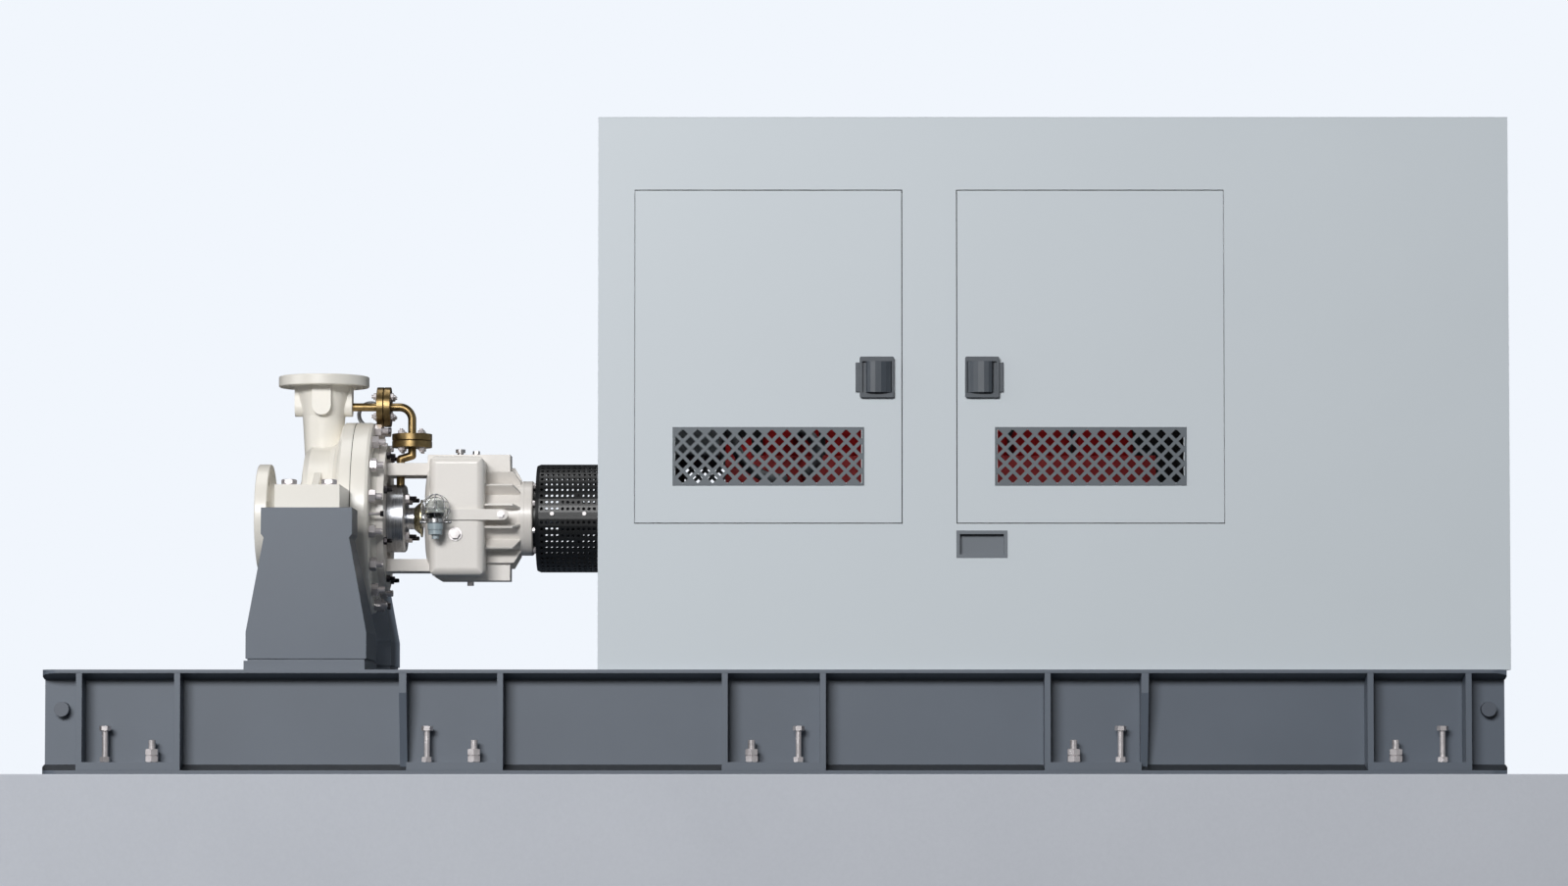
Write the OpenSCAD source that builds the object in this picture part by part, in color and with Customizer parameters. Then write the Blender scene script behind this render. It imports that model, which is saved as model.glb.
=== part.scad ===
// Skid-mounted process pump: a centreline-mounted pump on a long steel skid, driven through a
// guarded coupling by an engine inside a canopy with four doors. Millimetres. X runs along the
// skid from the pump to the canopy, Z is up, and the floor is at Z = 0.

/* [Skid] */
// Length of the side rails
skid_len = 4922; // [4500:1:5600]
// Width over the outer flange edges
skid_w = 1600; // [1560:10:1700]
// Height of the side rails
rail_h = 350; // [300:10:420]
// Thickness of the rail flanges
flange_t = 12; // [8:1:18]
// Thickness of the outer flanges beside the web
root_t = 32; // [20:1:38]
// Thickness of the rail webs
web_t = 10; // [8:1:16]
// Width of the rail flanges
flange_w = 200; // [180:5:240]
// Radius of the flange corners at the ends
corner_r = 57; // [20:1:70]
// Number of cross beams between the end members
beams = 6; // [3:1:8]
// Diameter of the lifting bars
lift_d = 50; // [30:1:70]
// How far a lifting bar stands out of the web
lift_out = 36; // [25:1:80]
// How far the canopy stands out past the skid's end
canopy_over = 14; // [10:1:60]

/* [Bolt chairs] */
// Number of bolt chairs on each side
chairs = 5; // [3:1:6]
// Width of a bolt chair
chair_w = 349; // [320:1:400]
// Thickness of the chair's side plates
chair_t = 20; // [12:1:30]
// Thickness of the chair's bottom plate
chair_base_t = 28; // [20:1:40]
// Thickness of the tapered gusset plates
gusset_t = 25; // [15:1:35]
// Thread diameter of the anchor studs
anchor_d = 24; // [16:1:30]
// Thread diameter of the jack bolts
jack_d = 18; // [14:1:24]

/* [Pedestals] */
// Width of the top block along the skid
ped_top_w = 308; // [260:1:340]
// Width at the base along the skid
ped_base_w = 407; // [380:1:440]
// Depth of the top block across the skid
ped_top_d = 200; // [170:1:240]
// Wall thickness of the hollow pedestal
ped_wall = 16; // [8:1:24]
// Thickness of the base plate
ped_plate_t = 31; // [20:1:45]
// Thickness of the shim under the pedestal
shim_t = 8; // [4:1:12]

/* [Pump casing] */
// Height of the shaft axis above the floor
shaft_z = 900; // [860:5:1000]
// Distance from the skid's left end to the suction flange face
suction_inset = 644; // [560:1:700]
// Length from the suction face to the cover joint
casing_len = 346; // [340:1:380]
// Outer diameter of the suction flange
suction_od = 381; // [370:1:400]
// Bore of the suction nozzle
suction_bore = 203; // [180:1:220]
// Outer diameter of the discharge flange
discharge_od = 318; // [310:1:330]
// Bore of the discharge nozzle
discharge_bore = 102; // [80:1:108]
// Height of the discharge face above the shaft axis
nozzle_h = 500; // [490:1:560]
// Outer diameter of the casing joint
joint_od = 674; // [664:1:700]
// Thickness of the casing's joint flange
casing_flange_t = 46; // [35:1:55]
// Thickness of the casing cover
cover_t = 65; // [50:1:80]
// Number of cover studs
studs = 16; // [12:4:20]
// Thread diameter of the cover studs
stud_d = 24; // [18:1:27]
// Width of a mounting foot along the skid
foot_w = 220; // [200:1:250]
// Thickness of a mounting foot
foot_h = 79; // [60:1:90]
// Diameter of the impeller
impeller_d = 340; // [300:1:360]

/* [Seal and bearing housing] */
// Outer diameter of the seal gland
gland_d = 238; // [220:1:250]
// Length of the seal gland
gland_len = 92; // [80:1:96]
// Diameter of the pump shaft at the bearings
journal_d = 64; // [56:1:70]
// Diameter of the shaft sleeve
sleeve_d = 76; // [74:1:84]
// Outer diameter of the yoke ring
yoke_d = 510; // [480:1:530]
// Length of the yoke arms
yoke_len = 156; // [150:1:180]
// Length of the bearing box
box_len = 192; // [170:1:220]
// Width of the bearing box across the skid
box_w = 400; // [380:1:420]
// Height of the bearing box
box_h = 417; // [400:1:430]
// Length of the finned barrel
barrel_len = 122; // [110:1:140]
// Diameter of the finned barrel
barrel_d = 256; // [240:1:260]
// Number of cooling fins
fins = 14; // [8:2:18]
// Diameter over the cooling fins
fin_d = 356; // [330:1:370]
// Thickness of a cooling fin
fin_t = 7; // [4:1:10]
// Outer diameter of a bearing
bearing_od = 140; // [130:1:150]
// Width of a bearing
bearing_w = 33; // [28:1:38]

/* [Flush piping] */
// Diameter of the flush pipe
pipe_d = 29; // [20:1:32]
// Diameter of the flush flanges
pipe_flange_d = 141; // [125:1:144]
// Thickness of one flush flange
pipe_flange_t = 23; // [18:1:25]

/* [Coupling guard] */
// Outer diameter of the guard
guard_d = 380; // [340:1:400]
// Sheet thickness of the guard
guard_t = 3; // [2:0.5:4]
// Length of the guard between the bearing housing and the canopy
guard_out = 241; // [220:1:300]
// How far the guard reaches into the canopy
guard_in = 109; // [60:1:130]
// Diameter of a guard hole
perf_d = 11; // [6:1:12]
// Pitch of the guard holes along the shaft
perf_pitch = 18.5; // [18:0.5:26]
// Number of guard holes around the half circle
perf_rows = 24; // [12:1:26]

/* [Canopy] */
// Height of the canopy
canopy_h = 1868; // [1750:1:2000]
// Width of the canopy
canopy_w = 1500; // [1440:1:1540]
// Sheet thickness of the canopy
sheet_t = 3; // [2:0.5:5]
// Width of a door leaf
door_w = 898; // [850:1:920]
// Height of a door leaf
door_h = 1123; // [1050:1:1150]
// Height of the doors above the skid
door_sill = 495; // [450:1:540]
// Distance from the canopy's left end to the left door
door_inset = 125; // [100:1:160]
// Distance between the doors
door_apart = 188; // [180:1:240]
// Gap all round a door leaf
door_gap = 3; // [2.8:0.1:4]
// Depth of a door leaf
leaf_depth = 28; // [20:1:40]
// Width of a door grille
grille_w = 645; // [600:1:660]
// Height of a door grille
grille_h = 197; // [190:1:210]
// Horizontal pitch of the diamond openings
diamond_pitch = 50; // [46:1:60]
// Side of a diamond opening
diamond_side = 21.6; // [16:0.1:24]
// Width of a door latch
latch_w = 115; // [100:1:120]
// Height of a door latch
latch_h = 138; // [120:1:150]
// Number of air slots in the end wall
end_slots = 14; // [6:1:18]

/* [Driver] */
// Length of the engine block
engine_len = 1500; // [1300:10:1600]
// Width of the engine block
engine_w = 460; // [400:10:520]
// Height of the block above the shaft axis
engine_top = 210; // [180:5:240]
// Diameter of the cooling fan
fan_d = 820; // [600:10:860]
// Diameter of the driver's output shaft
drive_d = 80; // [70:1:90]

/* [Hidden] */
$fn = 64;

// Clearance between pieces that move past each other
play = 0.3;
// Clearance between pieces that are pressed or keyed together
fit = 0.05;
// Overcut, so that a cut passes the face it starts on
over = 2;

// Stations along X, from the skid's left end to its right end
x_left = -(skid_len + canopy_over) / 2;
x_right = x_left + skid_len;
suction_x = x_left + suction_inset;
split_x = suction_x + casing_len;
cover_x = split_x + cover_t;
boss_t = 19;
ring_x = cover_x + boss_t;
ring_t = 25;
arm_x = ring_x + ring_t;
box_x0 = arm_x + yoke_len;
box_x1 = box_x0 + box_len;
housing_flange_t = 12;
barrel_x1 = box_x1 + barrel_len;
housing_x1 = barrel_x1 + housing_flange_t;
end_cover_t = 30;
end_cover_x1 = housing_x1 + end_cover_t;
adapter_t = 18;
adapter_x1 = end_cover_x1 + adapter_t;
guard_wrap = 5;
guard_x0 = adapter_x1 - guard_wrap;
canopy_x0 = guard_x0 + guard_out;
canopy_x1 = x_right + canopy_over;
guard_x1 = canopy_x0 + guard_in;

// Skid
rail_y = skid_w / 2 - flange_w / 2;
web_h = rail_h - 2 * flange_t;
web_setback = 2;
web_out = rail_y + web_t / 2;
web_in = rail_y - web_t / 2;
flange_in = skid_w / 2 - flange_w;
end_leg = 70;
beam_flange_w = 100;
deck_t = 12;
chair_first = 294;
chair_last = 300;
chair_pitch = (skid_len - chair_first - chair_last) / (chairs - 1);
function chair_x(i) = x_left + chair_first + i * chair_pitch;
bolt_y = skid_w / 2 - 50;
chair_y = skid_w / 2 - 1;
flange_slope = (root_t - flange_t) / (skid_w / 2 - web_out);
function flange_at(y) = flange_t + flange_slope * (skid_w / 2 - y);
jack_off = 83;
anchor_off = 75;
chair_floor = flange_t + chair_base_t;
lift_inset = [62, 59];
lift_z = rail_h * 0.623;

// Pedestals
ped_out = 700;
ped_foot_in = 304;
ped_plate_in = 290;
ped_plate_out = 755;
ped_block_h = 89;
ped_neck = 9.5;
ped_neck_h = 13;
ped_skirt_h = 90;
ped_foot_z = rail_h + ped_plate_t + shim_t;

// Pump casing
flange_t_in = 44;
discharge_t = 37;
nozzle_x = suction_x + 225;
foot_x = suction_x + casing_len - foot_w / 2 - 1;
foot_out = 680;
foot_bolt_off = 68;
foot_bolt_y = 610;
volute_r = 255;
volute_x0 = 175;
volute_x1 = 270;
stud_pcd = joint_od - 54;
stud_proud = 22;
nut_af = 41;
nut_h = 24;
nozzle_z = shaft_z + nozzle_h;
boss_z = nozzle_z - 107;
boss_r = 33.5;
boss_reach = 101;
impeller_x = split_x - 150;
impeller_back = 92;
impeller_end = impeller_x + impeller_back + 14;
eye_r = 98;
chamber_r = impeller_d / 2 + 16;
register_d = joint_od - 180;
register_len = 14;
seal_bore_r = sleeve_d / 2 + 7;

eye_x = split_x + 36;
eye_y = 95;
eye_foot = sqrt(pow(joint_od / 2, 2) - eye_y * eye_y);

// Bearing housing
yoke_pcd = yoke_d - 44;
yoke_bolt_d = 16;
yoke_thread = 10;
arm_r0 = 147;
arm_r1 = 190;
arm_w = 190;
box_r = 26;
box_z0 = shaft_z - box_h / 2;
box_z1 = shaft_z + box_h / 2;
pad_top = box_z1 + 13;
pad_bottom = box_z0 - 13;
pad_w = 120;
pad_x1 = barrel_x1 - 39;
bearing_x = [box_x0 - 14, housing_x1 - 10 - bearing_w];
ball_r = 11;
balls = 10;
race_r = (bearing_od / 2 + journal_d / 2) / 2;
cap_pcd = 242;
cap_r = 131;
adapter_r = 116;
strap_h = 38;
strap_t = 8;
strap_x0 = box_x0 + 27;
strap_x1 = barrel_x1 - 38;
strap_bolt_x = strap_x1 - 25;
strap_z = shaft_z + 3;

// Oiler
oiler_x = box_x0 + 27;
oiler_y = -box_w / 2 - 60;
oiler_z = shaft_z - 23;
oiler_r = 27;
bulb_r = 41;
bulb_z = oiler_z + 44;
cage_r = 49;
wire_d = 3;

// Flush piping
pipe_r = pipe_d / 2;
pair_x = cover_x + 3;
drop_x = nozzle_x + 311;
entry_x = nozzle_x + 271;
bend_r = 45;
port_depth = 7;
pair_z = shaft_z + 250;
jog_z = shaft_z + 222;
pipe_bolt_pcd = pipe_flange_d - 42;

// Coupling guard
guard_facets = 2 * (perf_rows + 1);
guard_screw_d = 6;
lap_t = 3;

// Shaft line
shaft_x0 = split_x - 165;
hub_x = adapter_x1 + 75;
hub_len = 55;
hub_r = 65;
coupling_r = 95;
coupling_t = 18;
drive_x0 = canopy_x0 + 34;

// Canopy
wall_y = canopy_w / 2;
roof_z = rail_h + canopy_h;
door_z = rail_h + door_sill;
left_hinge_x = canopy_x0 + door_inset;
right_hinge_x = left_hinge_x + 2 * door_w + door_apart;
jamb_depth = 48;
lip_w = 22;
rod_r = 1.2;
seal_t = 9;
grille_t = 3;
grille_u = (door_w - grille_w) / 2;
grille_v = 126;
grille_border = 9;
latch_edge = 26;
latch_u = door_w - latch_edge - latch_w;
latch_v = 422;
latch_t = 16;
paddle_w = 86;
paddle_h = 105;
paddle_rise = 26;
paddle_u = latch_w - paddle_w - 7;
finger_gap = 13;
pivot_u = paddle_w - 8;
pivot_w = 7;
latch_floor = 5;
tab_w = 14;
tab_h = 99;
pivot_r = 3;
pocket_w = 172;
pocket_h = 92;
pocket_border = 9;
pocket_x = left_hinge_x + door_w + door_apart - 4;
pocket_z = door_z - 118;

// Driver
engine_x0 = canopy_x0 + 423;
engine_x1 = engine_x0 + engine_len;
fan_x = engine_x1 + 120;
radiator_x = fan_x + 130;
sump_z = shaft_z - 330;
head_z = shaft_z + engine_top - 5;
box_end = engine_x0 - 19;
hose_r = 19;
hose_y = -engine_w / 2 - 70;
port_y = -engine_w / 2 - 25;
small_r = 45;
long_r = 170;
long_centre = [box_end + small_r + long_r, shaft_z + 290];
short_r = 75;
short_centre = [engine_x0 + 246, shaft_z + 212];
short_a0 = -60;
short_a1 = 80;
hose_ports = [
    [long_centre[0], long_centre[1] - long_r],
    [short_centre[0] + short_r * cos(short_a0), short_centre[1] + short_r * sin(short_a0)],
    [short_centre[0] + short_r * cos(short_a1), short_centre[1] + short_r * sin(short_a1)]
];

module along_x(x) {
    translate([x, 0, shaft_z]) rotate([0, 90, 0]) children();
}

module ring_x(x0, x1, r_out, r_in = 0) {
    along_x(x0) difference() {
        cylinder(r = r_out, h = x1 - x0);
        if (r_in > 0) translate([0, 0, -over]) cylinder(r = r_in, h = x1 - x0 + 2 * over);
    }
}

module circle_x(n, r, x, phase = 0) {
    for (i = [0:n - 1])
        translate([x, 0, shaft_z]) rotate([phase + i * 360 / n, 0, 0]) translate([0, 0, r])
            rotate([0, 90, 0]) children();
}

module hex(af, h) {
    cylinder(r = af / sqrt(3), h = h, $fn = 6);
}

module both_sides() {
    children();
    mirror([0, 1, 0]) children();
}

module rounded(w, h, r) {
    translate([r, 0]) square([w - 2 * r, h]);
    translate([0, r]) square([w, h - 2 * r]);
    for (x = [r, w - r], y = [r, h - r]) translate([x, y]) circle(r);
}

module rounded_box(w, d, h, r) {
    intersection() {
        linear_extrude(h) rounded(w, d, r);
        translate([0, d, 0]) rotate([90, 0, 0]) linear_extrude(d) rounded(w, h, r);
        rotate([90, 0, 90]) linear_extrude(w) rounded(d, h, r);
    }
}

// Skid

module flange_plan() {
    edge = -skid_w / 2;
    translate([x_left, edge + corner_r]) square([skid_len, flange_w - corner_r]);
    translate([x_left + corner_r, edge]) square([skid_len - 2 * corner_r, flange_w]);
    for (x = [x_left + corner_r, x_right - corner_r]) translate([x, edge + corner_r]) circle(corner_r);
}

module along_skid(x, length) {
    translate([x, 0, 0]) rotate([90, 0, 90]) linear_extrude(length) children();
}

module flange() {
    outer = skid_w / 2 + over;
    intersection() {
        linear_extrude(root_t + over) flange_plan();
        along_skid(x_left - over, skid_len + 2 * over)
            polygon([[-outer, -over], [-outer, flange_at(outer)], [-web_out, root_t], [-rail_y, root_t],
                [-rail_y, flange_t], [over - flange_in, flange_t], [over - flange_in, -over]]);
    }
}

module rail() {
    difference() {
        union() {
            flange();
            translate([0, 0, rail_h]) mirror([0, 0, 1]) flange();
            translate([x_left + web_setback, -web_out, flange_t - over])
                cube([skid_len - 2 * web_setback, web_t, web_h + 2 * over]);
        }
        for (x = [x_left + lift_inset[0], x_right - lift_inset[1]])
            translate([x, -web_in + over, lift_z]) rotate([90, 0, 0])
                cylinder(d = lift_d - 1 + 2 * play, h = web_t + 2 * over);
        for (i = [0:chairs - 1]) chair_holes(i, -over, root_t + over);
    }
}

module skid_rails() {
    color("slategray") both_sides() rail();
}

function jack_side(i) = i < chairs / 2 - 0.5 ? -1 : 1;

module chair_holes(i, z0, z1) {
    for (k = [[jack_side(i) * jack_off, jack_d], [-jack_side(i) * anchor_off, anchor_d]])
        translate([chair_x(i) + k[0], -bolt_y, z0]) cylinder(d = k[1] + 2, h = z1 - z0);
}

module end_member(x, turn) {
    leg = turn * end_leg;
    translate([x, 0, 0]) {
        translate([min(0, turn * web_t), -web_in, flange_t]) cube([web_t, 2 * web_in, web_h]);
        for (z = [flange_t, rail_h - 2 * flange_t])
            translate([min(0, leg), -web_in, z]) cube([end_leg, 2 * web_in, flange_t]);
    }
}

module cross_beam(x) {
    translate([x, 0, 0]) {
        translate([-web_t / 2, -web_in, flange_t]) cube([web_t, 2 * web_in, web_h]);
        for (z = [flange_t, rail_h - 2 * flange_t])
            translate([-beam_flange_w / 2, -web_in, z]) cube([beam_flange_w, 2 * web_in, flange_t]);
    }
}

module skid_cross_members() {
    color("slategray") {
        end_member(x_left + web_setback, 1);
        end_member(x_right - web_setback, -1);
        for (i = [1:beams]) cross_beam(x_left + i * skid_len / (beams + 1));
    }
}

module side_plate(x) {
    along_skid(x, chair_t)
        polygon([[-chair_y, flange_at(chair_y)], [-web_out, root_t], [-web_out, rail_h - root_t],
            [-chair_y, rail_h - flange_at(chair_y)]]);
}

module gusset(x) {
    tip_h = 66;
    foot_y = web_out + 34;
    along_skid(x, gusset_t)
        polygon([[-foot_y, flange_at(foot_y)], [-web_out, root_t], [-web_out, rail_h - root_t],
            [-chair_y, rail_h - flange_at(chair_y)], [-chair_y, rail_h - flange_t - tip_h]]);
}

module chair(i) {
    x0 = chair_x(i) - chair_w / 2;
    x1 = x0 + chair_w;
    left_gusset = i == 1;
    right_gusset = i == chairs - 2;
    if (left_gusset) gusset(x0); else side_plate(x0);
    if (right_gusset) gusset(x1 - gusset_t); else side_plate(x1 - chair_t);
    a = x0 + (left_gusset ? gusset_t : chair_t);
    b = x1 - (right_gusset ? gusset_t : chair_t);
    difference() {
        along_skid(a, b - a)
            polygon([[-chair_y, flange_at(chair_y)], [-web_out, root_t], [-web_out, chair_floor],
                [-chair_y, chair_floor]]);
        chair_holes(i, flange_t - over, chair_floor + over);
    }
}

module bolt_chairs() {
    color("slategray") both_sides() for (i = [0:chairs - 1]) chair(i);
}

module skid_deck() {
    color("slategray") translate([x_left + web_setback, -flange_in, rail_h - flange_t])
        cube([skid_len - 2 * web_setback, 2 * flange_in, deck_t]);
}

module lifting_bars() {
    color("dimgray") for (x = [x_left + lift_inset[0], x_right - lift_inset[1]])
        translate([x, 0, lift_z]) {
            translate([0, web_out + over, 0]) rotate([90, 0, 0])
                cylinder(d = lift_d - 1, h = 2 * (web_out + over));
            both_sides() translate([0, -web_out, 0]) rotate([90, 0, 0]) cylinder(d = lift_d, h = lift_out);
        }
}

module jack_bolt() {
    top = 162;
    head_h = 17;
    af = 32;
    nut = 18;
    cylinder(d = jack_d, h = top - over);
    translate([0, 0, top - head_h]) hex(af, head_h);
    translate([0, 0, chair_floor]) hex(af, nut);
}

module anchor_stud() {
    top = 115;
    af = 41;
    nut = 22;
    cylinder(d = anchor_d, h = top);
    translate([0, 0, chair_floor]) hex(af, nut);
    translate([0, 0, chair_floor + nut + 0.5]) hex(af, nut);
}

module foundation_bolts() {
    color("silver") both_sides() for (i = [0:chairs - 1]) {
        translate([chair_x(i) + jack_side(i) * jack_off, -bolt_y, 0]) jack_bolt();
        translate([chair_x(i) - jack_side(i) * anchor_off, -bolt_y, 0]) anchor_stud();
    }
}

// Pedestals

module ped_front(inset) {
    top = shaft_z - inset;
    half = ped_top_w / 2 - inset;
    foot = ped_base_w / 2 - inset;
    block_z = shaft_z - ped_block_h;
    right = [[half, top], [half, block_z], [half - ped_neck, block_z - ped_neck_h],
        [foot, ped_foot_z + ped_skirt_h], [foot, ped_foot_z - (inset > 0 ? over : 0)]];
    polygon(concat(right, [for (i = [4:-1:0]) [-right[i][0], right[i][1]]]));
}

module ped_side(inset) {
    out = ped_out - inset;
    top_in = ped_out - ped_top_d + inset;
    foot_in = ped_foot_in + inset;
    foot = ped_foot_z - (inset > 0 ? over : 0);
    polygon([[out, foot], [out, shaft_z - inset], [top_in, shaft_z - inset],
        [top_in, shaft_z - ped_block_h], [foot_in, ped_foot_z + ped_skirt_h], [foot_in, foot]]);
}

module ped_form(inset) {
    intersection() {
        translate([foot_x, 0, 0]) rotate([90, 0, 0]) linear_extrude(ped_out) ped_front(inset);
        mirror([0, 1, 0]) translate([foot_x - ped_base_w, 0, 0]) rotate([90, 0, 90])
            linear_extrude(2 * ped_base_w) ped_side(inset);
    }
}

module pedestal() {
    shim_in = 6;
    difference() {
        ped_form(0);
        ped_form(ped_wall);
        for (x = [-foot_bolt_off, foot_bolt_off])
            translate([foot_x + x, -foot_bolt_y, shaft_z - ped_wall - over])
                cylinder(d = 31, h = ped_wall + 2 * over);
    }
    translate([foot_x - ped_base_w / 2 + shim_in, -ped_out + shim_in, rail_h + ped_plate_t])
        cube([ped_base_w - 2 * shim_in, ped_out - ped_foot_in - 2 * shim_in, shim_t]);
    translate([foot_x - ped_base_w / 2, -ped_plate_out, rail_h])
        cube([ped_base_w, ped_plate_out - ped_plate_in, ped_plate_t]);
}

module pump_pedestals() {
    color("slategray") both_sides() pedestal();
}

// Pump casing and cover

module casing_body() {
    w = casing_len;
    f = w - casing_flange_t;
    along_x(suction_x) rotate_extrude(angle = 360) polygon([
        [0, 0], [suction_od / 2 - 3, 0], [suction_od / 2, 3], [suction_od / 2, flange_t_in - 3],
        [suction_od / 2 - 3, flange_t_in], [134, flange_t_in], [124, flange_t_in + 6],
        [114, flange_t_in + 22], [112, 130], [122, 145], [150, 158], [205, 163],
        [238, volute_x0 - 6], [volute_r, volute_x0 + 14], [volute_r, volute_x1 - 12],
        [volute_r + 8, volute_x1 + 6], [joint_od / 2 - 50, f - 12], [joint_od / 2 - 8, f],
        [joint_od / 2, f + 8], [joint_od / 2, w], [0, w]
    ]);
}

module nozzle_body() {
    top = nozzle_h - discharge_t;
    translate([nozzle_x, 0, shaft_z]) {
        rotate_extrude(angle = 360) polygon([
            [0, 60], [62, 60], [60, 110], [75, 360], [91, 430], [94, 444], [104, top],
            [discharge_od / 2 - 3, top], [discharge_od / 2, top + 3],
            [discharge_od / 2, nozzle_h - 3], [discharge_od / 2 - 3, nozzle_h], [0, nozzle_h]
        ]);
        for (a = [0:90:270]) rotate([0, 0, a]) {
            translate([0, -50, boss_z - shaft_z]) rotate([90, 0, 0])
                cylinder(r = boss_r, h = boss_reach - 50);
            translate([-boss_r, -boss_reach, boss_z - shaft_z])
                cube([2 * boss_r, boss_reach - 50, top - boss_z + shaft_z]);
        }
    }
}

module casing_rib() {
    rib_t = 25;
    translate([nozzle_x - rib_t / 2, 0, shaft_z]) rotate([90, 0, 90]) linear_extrude(rib_t)
        polygon([[-foot_out / 2 - 30, foot_h - 5], [-60, 217], [-40, 217], [-40, 60],
            [-foot_out / 2 - 30, 60]]);
}

module casing_foot() {
    difference() {
        translate([foot_x - foot_w / 2, -foot_out, shaft_z]) cube([foot_w, foot_out - 150, foot_h]);
        for (x = [-foot_bolt_off, foot_bolt_off]) translate([foot_x + x, -foot_bolt_y, shaft_z - over])
            cylinder(d = 31, h = foot_h + 2 * over);
    }
}

module casing_passage() {
    throat = impeller_x - suction_x;
    along_x(suction_x) rotate_extrude(angle = 360) polygon([
        [0, -over], [suction_bore / 2, -over], [suction_bore / 2, throat - 20], [eye_r + 0.5, throat],
        [eye_r + 0.5, throat + 18], [chamber_r, throat + 40], [chamber_r, casing_len - register_len],
        [register_d / 2, casing_len - register_len], [register_d / 2, casing_len + over],
        [0, casing_len + over]
    ]);
    translate([nozzle_x, 0, shaft_z]) cylinder(d = discharge_bore, h = nozzle_h - 60);
    translate([nozzle_x, 0, nozzle_z - 90]) cylinder(d = 152.4, h = 90 + over);
}

module pump_casing() {
    holes = 12;
    color("linen") difference() {
        union() {
            casing_body();
            nozzle_body();
            both_sides() casing_rib();
            both_sides() casing_foot();
        }
        casing_passage();
        circle_x(holes, 330.2 / 2, suction_x - over, 15)
            cylinder(d = 25.4, h = flange_t_in + 12);
        for (i = [0:holes - 1]) translate([nozzle_x, 0, nozzle_z - discharge_t - over])
            rotate([0, 0, 15 + i * 360 / holes]) translate([269.9 / 2, 0, 0])
                cylinder(d = 22.2, h = discharge_t + 2 * over);
        circle_x(studs, stud_pcd / 2, split_x - casing_flange_t + 6, 180 / studs)
            cylinder(d = stud_d + 2 * play, h = casing_flange_t);
    }
}

module casing_cover() {
    lip = 4;
    color("linen") difference() {
        union() {
            along_x(split_x) rotate_extrude(angle = 360) polygon([
                [0, -register_len], [register_d / 2 - play, -register_len],
                [register_d / 2 - play, 0], [joint_od / 2, 0], [joint_od / 2, cover_t - 14],
                [joint_od / 2 - lip, cover_t - 4], [joint_od / 2 - 14, cover_t],
                [yoke_d / 2 + 4, cover_t], [yoke_d / 2, cover_t + boss_t], [0, cover_t + boss_t]
            ]);
        }
        ring_x(ring_x - 8, ring_x + over, gland_d / 2 + play);
        ring_x(split_x - register_len - over, ring_x, seal_bore_r);
        circle_x(studs, stud_pcd / 2, split_x - over, 180 / studs)
            cylinder(d = stud_d + 2 * play, h = cover_t + 2 * over);
        circle_x(8, yoke_pcd / 2, ring_x - yoke_thread - over, 22.5)
            cylinder(d = yoke_bolt_d + 2 * play, h = yoke_thread + 2 * over);
        translate([eye_x, eye_y, shaft_z + eye_foot - 8]) cylinder(r = 9 + play, h = 20);
    }
}

module cover_stud() {
    grip = casing_flange_t - 8;
    translate([0, 0, -grip]) cylinder(d = stud_d, h = grip + cover_t + nut_h + stud_proud);
    translate([0, 0, cover_t + fit]) hex(nut_af, nut_h);
}

module cover_studs() {
    color("silver") {
        circle_x(studs, stud_pcd / 2, split_x, 180 / studs) cover_stud();
        circle_x(4, stud_pcd / 2, cover_x, 90) {
            cylinder(d = 11, h = 52);
            translate([0, 0, 40]) hex(19, 12);
        }
    }
}

module lifting_eye() {
    ring_r = 42;
    rod = 7;
    color("gray") translate([eye_x, eye_y, shaft_z + eye_foot]) {
        translate([0, 0, -6]) cylinder(r = 9, h = 6 + 12);
        translate([0, 0, 8 + ring_r]) rotate([90, 0, 0]) rotate_extrude(angle = 360)
            translate([ring_r, 0]) circle(rod, $fn = 24);
    }
}

module foot_bolt() {
    translate([0, 0, -ped_wall]) cylinder(d = 30, h = ped_wall + foot_h);
    translate([0, 0, foot_h]) hex(46, 17);
}

module yoke_bolt() {
    translate([0, 0, -yoke_thread]) cylinder(d = yoke_bolt_d, h = yoke_thread + ring_t + 30);
    translate([0, 0, ring_t]) hex(24, 12);
}

module gland_nut() {
    cylinder(d = 16, h = 40);
    hex(27, 15);
}

module cap_bolt() {
    translate([0, 0, -end_cover_t]) cylinder(d = 12, h = end_cover_t);
    hex(18, 9);
}

module hex_bolts() {
    color("silver") {
        both_sides() for (x = [-foot_bolt_off, foot_bolt_off])
            translate([foot_x + x, -foot_bolt_y, shaft_z]) foot_bolt();
        circle_x(8, yoke_pcd / 2, ring_x, 22.5) yoke_bolt();
        circle_x(4, gland_d / 2 - 24, ring_x - 4 + gland_len, 45) gland_nut();
        circle_x(8, cap_pcd / 2, end_cover_x1, 22.5) cap_bolt();
    }
}

// Seal gland

module seal_gland() {
    x0 = ring_x - 4;
    r = gland_d / 2;
    color("lightsteelblue") difference() {
        along_x(x0) rotate_extrude(angle = 360) polygon([
            [0, 0], [r, 0], [r, gland_len - 6], [r - 6, gland_len], [0, gland_len]
        ]);
        ring_x(x0 - over, x0 + gland_len + over, seal_bore_r);
        translate([entry_x, 0, shaft_z + r - port_depth]) cylinder(r = pipe_r + play, h = port_depth + over);
    }
}

// Bearing housing

module yoke() {
    ring_x(ring_x, arm_x, yoke_d / 2, gland_d / 2 + 21);
    for (s = [-1, 1]) {
        z = s > 0 ? shaft_z + arm_r0 : shaft_z - arm_r1;
        translate([arm_x - 10, -arm_w / 2, z]) cube([yoke_len + 20, arm_w, arm_r1 - arm_r0]);
    }
}

module inboard_wall() {
    along_x(box_x0 - 22) rotate_extrude(angle = 360) polygon([
        [0, 0], [110, 0], [150, 3], [182, 10], [202, 22], [202, 48], [0, 48]
    ]);
}

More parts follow.
